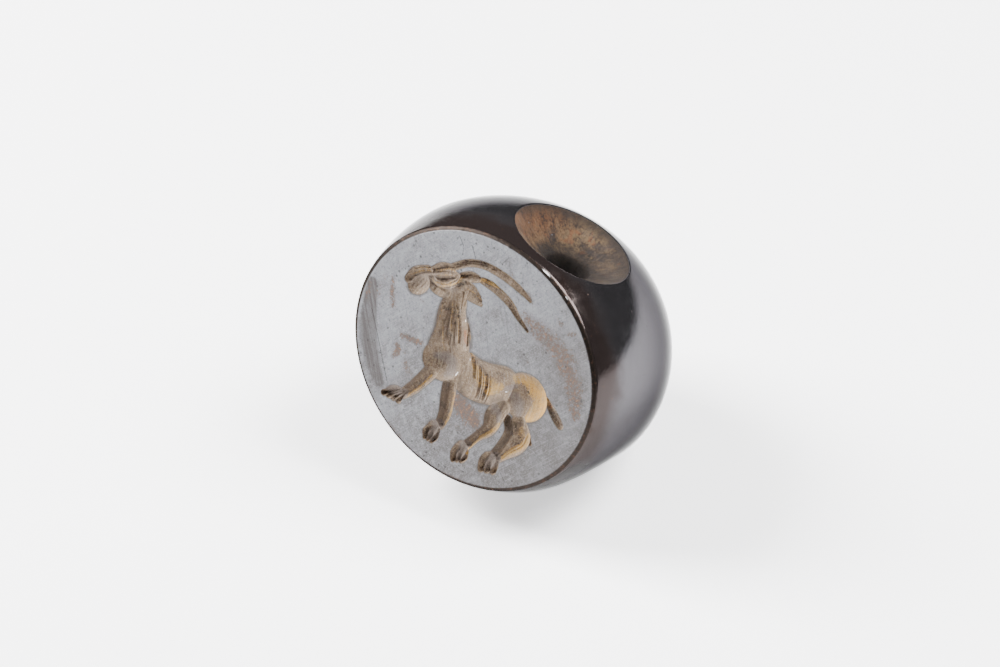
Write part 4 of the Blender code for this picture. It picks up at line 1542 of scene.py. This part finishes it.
@dataclass(frozen=True)
class StoneFinish:
    """Dark iron-rich stone: polished on the dome, satin on the face, with earth in the cuts, and with painted
    shade, painted light and painted glints on the face and in the mouths.
    """

    name: str = "dark_stone"
    ior: float = 1.75
    edge_tint: tuple[float, float, float, float] = (0.30, 0.30, 0.30, 1.0)
    dome_metal: float = 0.88
    cool_ground: Triple = (0.120, 0.122, 0.132)
    warm_ground: Triple = (0.062, 0.056, 0.056)
    light_grain: Triple = (0.195, 0.198, 0.212)
    dark_grain: Triple = (0.034, 0.029, 0.029)
    pit_and_hole_shade: Triple = (0.012, 0.009, 0.008)
    stripe: Triple = (0.034, 0.028, 0.027)
    rim_brown: Triple = (0.016, 0.012, 0.010)
    orange_rust: Triple = (0.175, 0.078, 0.034)
    brown_rust: Triple = (0.066, 0.038, 0.026)
    rust_haze_and_shade: Triple = (0.051, 0.042, 0.038)
    painted_glint_white: Triple = (0.80, 0.79, 0.78)
    dark_earth_and_shade: Triple = (0.044, 0.031, 0.023)
    brown_earth: Triple = (0.136, 0.095, 0.062)
    tan_earth: Triple = (0.250, 0.182, 0.114)
    dust: Triple = (0.300, 0.245, 0.205)
    ochre: Triple = (0.390, 0.218, 0.055)
    ochre_shade: Triple = (0.225, 0.150, 0.070)
    cut_stone: Triple = (0.132, 0.104, 0.086)
    polish: Triple = (0.072, 0.069, 0.074)
    brown_polish: Triple = (0.022, 0.014, 0.012)
    crust_brown: Triple = (0.017, 0.011, 0.008)
    crust_orange: Triple = (0.140, 0.088, 0.045)
    crust_red: Triple = (0.130, 0.052, 0.022)
    crust_ochre: Triple = (0.085, 0.060, 0.036)
    crust_grey: Triple = (0.036, 0.031, 0.032)
    scratches: tuple[tuple[float, float, float, float, float], ...] = (
        (-4.62, 5.98, -4.10, 5.62, 0.045),
        (-3.62, 6.00, -2.95, 5.42, 0.045),
        (-4.05, 5.50, -3.85, 5.10, 0.030),
        (-1.20, 6.95, -1.35, 6.40, 0.030),
        (5.15, -4.82, 5.75, -5.15, 0.035),
        (6.30, 2.30, 7.60, 2.72, 0.025),
        (6.30, 2.02, 7.70, 2.40, 0.025),
        (6.45, 1.74, 7.75, 2.08, 0.025),
        (-7.30, -1.70, -4.15, -4.95, 0.045),
    )

    def make(self) -> bpy.types.Material:
        """Build the material.

        Returns:
            The material.
        """
        tree = ShaderTree(self.name)
        place = tree.attribute(PLACE_LAYER).out("Vector")
        layer = {zone: tree.attribute(zone.value).out("Fac") for zone in Zone}
        stone = self.polished_dome(tree, place)
        stone = stone.under(tree, self.satin_face(tree, place, layer), layer[Zone.FACE].step(0.4, 0.6))
        stone = stone.under(tree, self.dark_rim(tree, place), layer[Zone.EDGE].step(0.70, 0.95))
        stone = stone.under(tree, self.earthy_cuts(tree, place, layer), layer[Zone.CUT].step(0.002, 0.040))
        # Painted glints, near-white where the rim's chips and the cuts would catch the light.
        broken = layer[Zone.GLINT] + (tree.noise(place, 4.0, 3.0, 0.6) - 0.5) * 0.9
        sparkle = (broken * layer[Zone.GLINT]).step(0.20, 0.60)
        stone = stone.under(tree, self.painted_glints(tree, place), sparkle)
        stone = stone.under(tree, self.mouth_crust(tree, place), layer[Zone.MOUTH].step(0.05, 0.6))
        bump = tree.node("ShaderNodeBump", {}, {"Distance": MM, "Height": stone.height}).out()
        return tree.finish(
            {
                "Base Color": stone.colour,
                "Roughness": stone.roughness,
                "Metallic": stone.metal,
                "Normal": bump,
                "IOR": self.ior,
                "Specular Tint": self.edge_tint,
            }
        )

    def satin_face(self, tree: ShaderTree, place: Wire, layer: dict[Zone, Wire]) -> Coat:
        """Grey satin ground with grain, pits, scratches, rust and the worn stripe at its edge, and painted
        shade that makes it lighter towards the top and darker towards the right.

        Args:
            tree: The material's tree.
            place: Place on the stone.
            layer: The painted zones.

        Returns:
            The coat.
        """
        x, _, z = place.parts()
        # The clouds climb towards the top and fall towards the right, so the ground is painted lighter at the
        # top and darker at the right: painted shading.
        clouds = tree.noise(place, 0.45, 3.0, 0.5, 0.5) + z * 0.016 - x * 0.017
        grain = tree.noise(place, 5.5, 5.0, 0.72)
        dust = tree.noise(place + (3.0, 8.0, 5.0), 9.0, 3.0, 0.65)
        mottle = tree.noise(place + (1.0, 6.0, 9.0), 2.0, 5.0, 0.7)
        hairs = tree.brush(place, 62.0, 0.45, 16.0)
        brushed = tree.brush(place, -49.0, 0.25, 7.0)
        colour = tree.lay(
            tree.mix(clouds.step(0.26, 0.70), self.warm_ground, self.cool_ground),
            Veil(mottle, 0.46, 0.66, 0.50, self.light_grain),
            Veil(dust, 0.48, 0.66, 0.45, self.light_grain),
            # This veil darkens the right of the face with the rust haze colour: painted shade.
            Veil(x + (mottle - 0.5) * 8.0, 0.5, 7.5, 0.35, self.rust_haze_and_shade),
            Veil(hairs, 0.55, 0.70, 0.45, self.light_grain),
            Veil(hairs, 0.44, 0.30, 0.35, self.dark_grain),
            Veil(grain, 0.52, 0.68, 0.70, self.dark_grain),
            Veil(brushed, 0.45, 0.30, 0.30, self.dark_grain),
        )
        stripe = layer[Zone.WORN] * (brushed.step(0.38, 0.58) * 0.35 + 0.65)
        colour = tree.mix(stripe * 0.95, colour, self.stripe)
        rusty = layer[Zone.RUST]
        patchy = tree.noise(place, 2.2, 5.0, 0.78, 0.6)
        colour = tree.mix(rusty * (patchy.step(0.35, 0.60) * 0.55 + 0.24), colour, self.rust_haze_and_shade)
        flecks = tree.noise(place + (7.0, 1.0, 2.0), 5.0, 4.0, 0.75)
        bloom = (rusty * 0.70 + (patchy - 0.5) * 1.6 + (flecks - 0.5) * 2.0).step(0.27, 0.57)
        rust = tree.mix((flecks + rusty * 0.12).step(0.52, 0.62), self.rust_haze_and_shade, self.brown_rust)
        rust = tree.mix((flecks + rusty * 0.08).step(0.63, 0.71), rust, self.orange_rust)
        colour = tree.mix(bloom * rusty.step(0.0, 0.25) * 0.85, colour, rust)
        dirty = (layer[Zone.HALO] + (patchy - 0.5) * 1.6).step(0.10, 0.90)
        colour = tree.mix(dirty * layer[Zone.HALO].step(0.0, 0.3) * 0.80, colour, self.rust_haze_and_shade)
        pits = tree.specks(place, 2.6, 0.24, 0.55)
        pits = pits.at_least(tree.specks(place + (1.3, 0.7, 2.1), 1.1, 0.12, 0.16))
        colour = tree.mix(pits * 0.60, colour, self.pit_and_hole_shade)
        lines = self.scratch_lines(tree, place)
        colour = tree.mix(lines * 0.6, colour, self.pit_and_hole_shade)
        roughness = grain.step(0.4, 0.65) * 0.20 + 0.32 + bloom * rusty * 0.2
        height = grain * 0.030 + mottle * 0.03 + brushed * 0.004 - pits * 0.030 - lines * 0.020
        return Coat(colour, roughness, height)

    def scratch_lines(self, tree: ShaderTree, place: Wire) -> Wire:
        """The few long scratches on the face, as a number that is 1 on them.

        Args:
            tree: The material's tree.
            place: Place on the stone.

        Returns:
            The lines.
        """
        lines = None
        for x0, z0, x1, z1, half_width in self.scratches:
            along = Vector((x1 - x0, 0.0, z1 - z0))
            start = place - (x0, 0.0, z0)
            share = (start.dot(along) / along.length_squared).at_least(0.0).at_most(1.0)
            across = tree.combine(share * along.x, 0.0, share * along.z)
            line = (start - across).length().step(half_width, 0.3 * half_width)
            lines = line if lines is None else lines.at_least(line)
        return lines

    def earthy_cuts(self, tree: ShaderTree, place: Wire, layer: dict[Zone, Wire]) -> Coat:
        """Earth left in the carving, from dark brown to bright ochre, with bare stone in places, painted
        shade on shaded walls, partings and the cuts' shallow edges, and painted light on lit walls and raised
        lines.

        Args:
            tree: The material's tree.
            place: Place on the stone.
            layer: The painted zones.

        Returns:
            The coat.
        """
        patches = tree.noise(place, 1.2, 4.0, 0.6)
        crumbs = tree.noise(place + (5.0, 5.0, 1.0), 8.0, 5.0, 0.7)
        colour = tree.mix(patches.step(0.30, 0.52), self.dark_earth_and_shade, self.brown_earth)
        colour = tree.lay(colour, Veil(crumbs, 0.46, 0.62, 0.6, self.tan_earth))
        bare = (layer[Zone.BARE] + (patches - 0.5) * 0.8).step(0.25, 0.75)
        colour = tree.mix(bare, colour, self.cut_stone)
        rusty = (layer[Zone.RUST] + (crumbs - 0.5) * 1.6).step(0.4, 0.9)
        colour = tree.mix(rusty * 0.9, colour, self.orange_rust)
        # Ochre earth, with painted light on lit walls and raised lines.
        ochre_and_lit_cover = (layer[Zone.OCHRE_AND_LIT] + (crumbs - 0.5) * 1.6 + (patches - 0.5) * 0.8).step(0.28, 0.80)
        ochre = tree.mix(patches.step(0.3, 0.7), self.ochre, self.ochre_shade)
        colour = tree.mix(ochre_and_lit_cover * layer[Zone.OCHRE_AND_LIT].step(0.0, 0.5), colour, ochre)
        strokes = tree.brush(place, -66.0, 0.7, 7.0)
        grit = tree.noise(place + (2.0, 7.0, 3.0), 11.0, 4.0, 0.75)
        colour = tree.lay(
            colour,
            Veil(strokes, 0.46, 0.30, 0.42, self.dark_earth_and_shade),
            Veil(strokes, 0.54, 0.70, 0.40, self.dust),
            Veil(grit, 0.48, 0.36, 0.38, self.dark_earth_and_shade),
            Veil(grit, 0.54, 0.68, 0.55, self.dust),
            # The last two veils are painted shade: dark on shaded walls and partings, and a dark band along
            # the cuts' shallow edges.
            Veil(layer[Zone.SHADE] + (crumbs - 0.5) * 1.2, 0.25, 0.95, 0.62, self.dark_earth_and_shade),
            Veil(layer[Zone.CUT] + (crumbs - 0.5) * 0.12, 0.19, 0.02, 0.36, self.dark_earth_and_shade),
        )
        roughness = crumbs * 0.1 + 0.66 + ochre_and_lit_cover * 0.20 - bare * 0.12
        height = crumbs * 0.060 + patches * 0.02 + strokes * 0.060 + grit * 0.030
        return Coat(colour, roughness, height)

    def dark_rim(self, tree: ShaderTree, place: Wire) -> Coat:
        """Dull brown line where the face's rim is worn round."""
        grain = tree.noise(place, 5.0, 4.0, 0.7)
        colour = tree.mix(grain.step(0.52, 0.66) * 0.5, self.rim_brown, self.brown_rust)
        return Coat(colour, grain * 0.2 + 0.35, grain * 0.02, 0.9)

    def painted_glints(self, tree: ShaderTree, place: Wire) -> Coat:
        """Painted glints: near-white spots on the rim's chips and in the cuts, standing in for highlights."""
        grain = tree.noise(place, 10.0, 3.0)
        return Coat(tree.mix(grain * 0.3, self.painted_glint_white, self.cool_ground), grain * 0.2 + 0.2, grain * 0.01)

    def polished_dome(self, tree: ShaderTree, place: Wire) -> Coat:
        """Glossy near-black stone, browner and specked with rust towards the face.

        Args:
            tree: The material's tree.
            place: Place on the stone.

        Returns:
            The coat.
        """
        clouds = tree.noise(place, 0.35, 4.0, 0.6, 0.4)
        behind = place.parts()[1]
        brown = (behind + (clouds - 0.5) * 3.0).step(2.7, 0.9) * 0.85 + clouds.step(0.50, 0.70) * 0.15
        colour = tree.mix(brown, self.polish, self.brown_polish)
        near = behind.step(3.5, 0.3) * 0.8 + 0.2
        specks = tree.specks(place, 3.2, 0.26, 0.30) * tree.noise(place, 0.8, 2.0).step(0.45, 0.62)
        colour = tree.mix(specks * near * 0.6, colour, self.brown_rust)
        haze = tree.noise(place + (9.0, 2.0, 4.0), 1.3, 5.0, 0.65)
        roughness = haze.step(0.35, 0.8) * 0.12 + 0.09 + specks * 0.2
        height = tree.noise(place, 2.2, 4.0, 0.6) * 0.006
        return Coat(colour, roughness, height, self.dome_metal - brown * 0.25)

    def mouth_crust(self, tree: ShaderTree, place: Wire) -> Coat:
        """Rough ochre and brown crust with streaks that run in to the hole, and painted shade that darkens
        the dish towards the hole.

        Args:
            tree: The material's tree.
            place: Place on the stone.

        Returns:
            The coat.
        """
        x, behind, _ = place.parts()
        past_axis = behind - SealStone.bore_behind_face
        around = tree.combine(x - SealStone.hole_sidestep, past_axis, 0.0)
        away = around.length()
        ray = around.maths("NORMALIZE")
        streaks = tree.noise(ray.times(9.0) + tree.combine(0.0, 0.0, away * 1.2), 1.0, 5.0, 0.7)
        fibres = tree.noise(ray.times(26.0) + tree.combine(0.0, 0.0, away * 2.0), 1.0, 3.0, 0.6)
        patches = tree.noise(place + (4.0, 4.0, 4.0), 0.8, 5.0, 0.7, 0.3)
        crumbs = tree.noise(place, 7.0, 5.0, 0.8)
        embers = tree.noise(place + (6.0, 1.0, 3.0), 1.1, 4.0, 0.65)
        pale = (patches + (streaks - 0.5) * 0.5 + (crumbs - 0.5) * 0.9 - x * 0.020).step(0.32, 0.70)
        ochre = tree.mix((x + patches * 3.0).step(-1.4, 0.8) * 0.8 + 0.2, self.crust_red, self.crust_orange)
        greys = tree.noise(place + (2.0, 9.0, 7.0), 0.9, 4.0, 0.7) + x * 0.03
        colour = tree.lay(
            tree.mix(pale, self.crust_brown, ochre),
            Veil(embers, 0.56, 0.64, 0.75, self.crust_red),
            Veil(streaks, 0.46, 0.62, 0.45, self.crust_ochre),
            Veil(greys, 0.46, 0.66, 0.45, self.crust_grey),
            Veil(crumbs, 0.50, 0.36, 0.55, self.crust_brown),
            Veil(fibres, 0.48, 0.34, 0.30, self.crust_brown),
        )
        ends = fibres.step(0.56, 0.74) * crumbs.step(0.42, 0.60)
        colour = tree.mix(ends * 0.40, colour, self.tan_earth)
        colour = tree.mix(tree.specks(place, 4.5, 0.22, 0.10) * 0.7, colour, self.light_grain)
        outwards = tree.combine(x - SealStone.bore_sidestep, past_axis, 0.0).length()
        margin = (outwards + (crumbs - 0.5) * 1.2).step(3.2, 3.9)
        colour = tree.mix(margin * behind.step(2.8, 5.0) * 0.85, colour, self.crust_brown)
        # The first veil is painted shade: the dish goes near-black towards the hole.
        colour = tree.lay(
            colour,
            Veil(away + (patches - 0.5) * 1.2, 2.8, 1.3, 0.90, self.pit_and_hole_shade),
            Veil(x, -0.4, 3.2, 0.62, self.crust_brown),
        )
        return Coat(colour, crumbs * 0.1 + 0.85, crumbs * 0.18 + streaks * 0.12 + fibres * 0.05)


@dataclass(frozen=True)
class Softbox:
    """A square light that looks at the stone, with its place and side in millimetres."""

    name: str
    place: Triple
    side: float
    watts: float


@dataclass(frozen=True)
class Studio:
    """Floor, soft lights and the camera of the photograph, with the camera in millimetres."""

    azimuth: float = 33.21
    elevation: float = 38.0
    aim: Triple = (0.0110, -6.1871, 10.3886)
    across: float = 1.639
    above: float = 1.563
    distance: float = 271.08
    lens: float = 162.0
    nearest_seen: float = 10.0
    bright_way: Triple = (-0.43, -0.90, 0.0)
    front_glow: float = 0.5
    room_glow: float = 0.03
    floor_half_side: float = 3000.0
    floor_light: Triple = (0.96, 0.96, 0.97)
    floor_dark: Triple = (0.92, 0.92, 0.93)
    floor_glow: float = 1.1
    softboxes: tuple[Softbox, ...] = (
        Softbox("left_softbox", (-190.0, -50.0, 185.0), 140.0, 3.3),
        Softbox("right_softbox", (126.0, 82.0, 225.0), 140.0, 2.3),
    )

    def ways(self) -> tuple[Vector, Vector, Vector]:
        """The camera's right, its up and the way back from its aim."""
        turn, rise = math.radians(self.azimuth), math.radians(self.elevation)
        right = Vector((math.cos(turn), math.sin(turn), 0.0))
        back = Vector((math.sin(turn) * math.cos(rise), -math.cos(turn) * math.cos(rise), math.sin(rise)))
        return right, back.cross(right), back

    def add_camera(self) -> None:
        """Create the camera and make it the scene's."""
        right, up, back = self.ways()
        camera = put_in_scene("camera", bpy.data.cameras.new("camera"))
        camera.data.lens = self.lens
        camera.data.clip_start = self.nearest_seen * MM
        aside = self.across * right + self.above * up
        camera.location = (Vector(self.aim) + aside + self.distance * back) * MM
        camera.rotation_mode = "QUATERNION"
        camera.rotation_quaternion = Matrix((right, up, back)).transposed().to_quaternion()
        bpy.context.scene.camera = camera

    def add_light(self, softbox: Softbox) -> None:
        """Add a softbox that looks at the stone."""
        light = bpy.data.lights.new(softbox.name, "AREA")
        light.size = softbox.side * MM
        light.energy = softbox.watts
        made = put_in_scene(softbox.name, light)
        made.location = Vector(softbox.place) * MM
        made.rotation_mode = "QUATERNION"
        made.rotation_quaternion = (made.location - Vector(self.aim) * MM).to_track_quat("Z", "Y")

    def add_world(self) -> None:
        """A dark room with a soft glow low down where the face looks."""
        world = bpy.data.worlds.new("room")
        world.use_nodes = True
        tree = Tree(world.node_tree)
        way = tree.node("ShaderNodeTexCoord", {}, {}).out("Generated")
        low = way.parts()[2].step(0.55, 0.0)
        front = way.dot(self.bright_way).step(0.1, 0.9)
        strength = low * front * self.front_glow + self.room_glow
        light = tree.node("ShaderNodeBackground", {}, {"Strength": strength}).out()
        tree.node("ShaderNodeOutputWorld", {}, {"Surface": light})
        bpy.context.scene.world = world

    def add_floor(self) -> None:
        """A plain pale floor under the stone."""
        form = bmesh.new()
        bmesh.ops.create_grid(form, x_segments=8, y_segments=8, size=self.floor_half_side * MM)
        mesh = bpy.data.meshes.new("floor")
        form.to_mesh(mesh)
        form.free()
        floor = put_in_scene("floor", mesh)
        tree = ShaderTree("pale_floor")
        place = tree.node("ShaderNodeTexCoord", {}, {}).out("Object")
        shade = tree.noise(place, 40.0).step(0.2, 0.8) * 0.01
        colour = tree.mix(shade, self.floor_light, self.floor_dark)
        glow = {"Emission Color": colour, "Emission Strength": self.floor_glow}
        mesh.materials.append(tree.finish({"Base Color": colour, "Roughness": 0.9, **glow}))

    def build(self) -> None:
        """Set up the whole studio."""
        self.add_camera()
        self.add_world()
        self.add_floor()
        for softbox in self.softboxes:
            self.add_light(softbox)


def main() -> None:
    """Build the stone and its studio, and say what was made."""
    logging.basicConfig(level=logging.INFO, format="%(name)s: %(message)s")
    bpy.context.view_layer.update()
    stone = SealStone().build(StoneFinish().make())
    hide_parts("seal_stone")
    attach(stone, "root")
    log.info("%s stands for the packed seal_stone", stone.name)
    Studio().build()


if __name__ == "__main__":
    main()
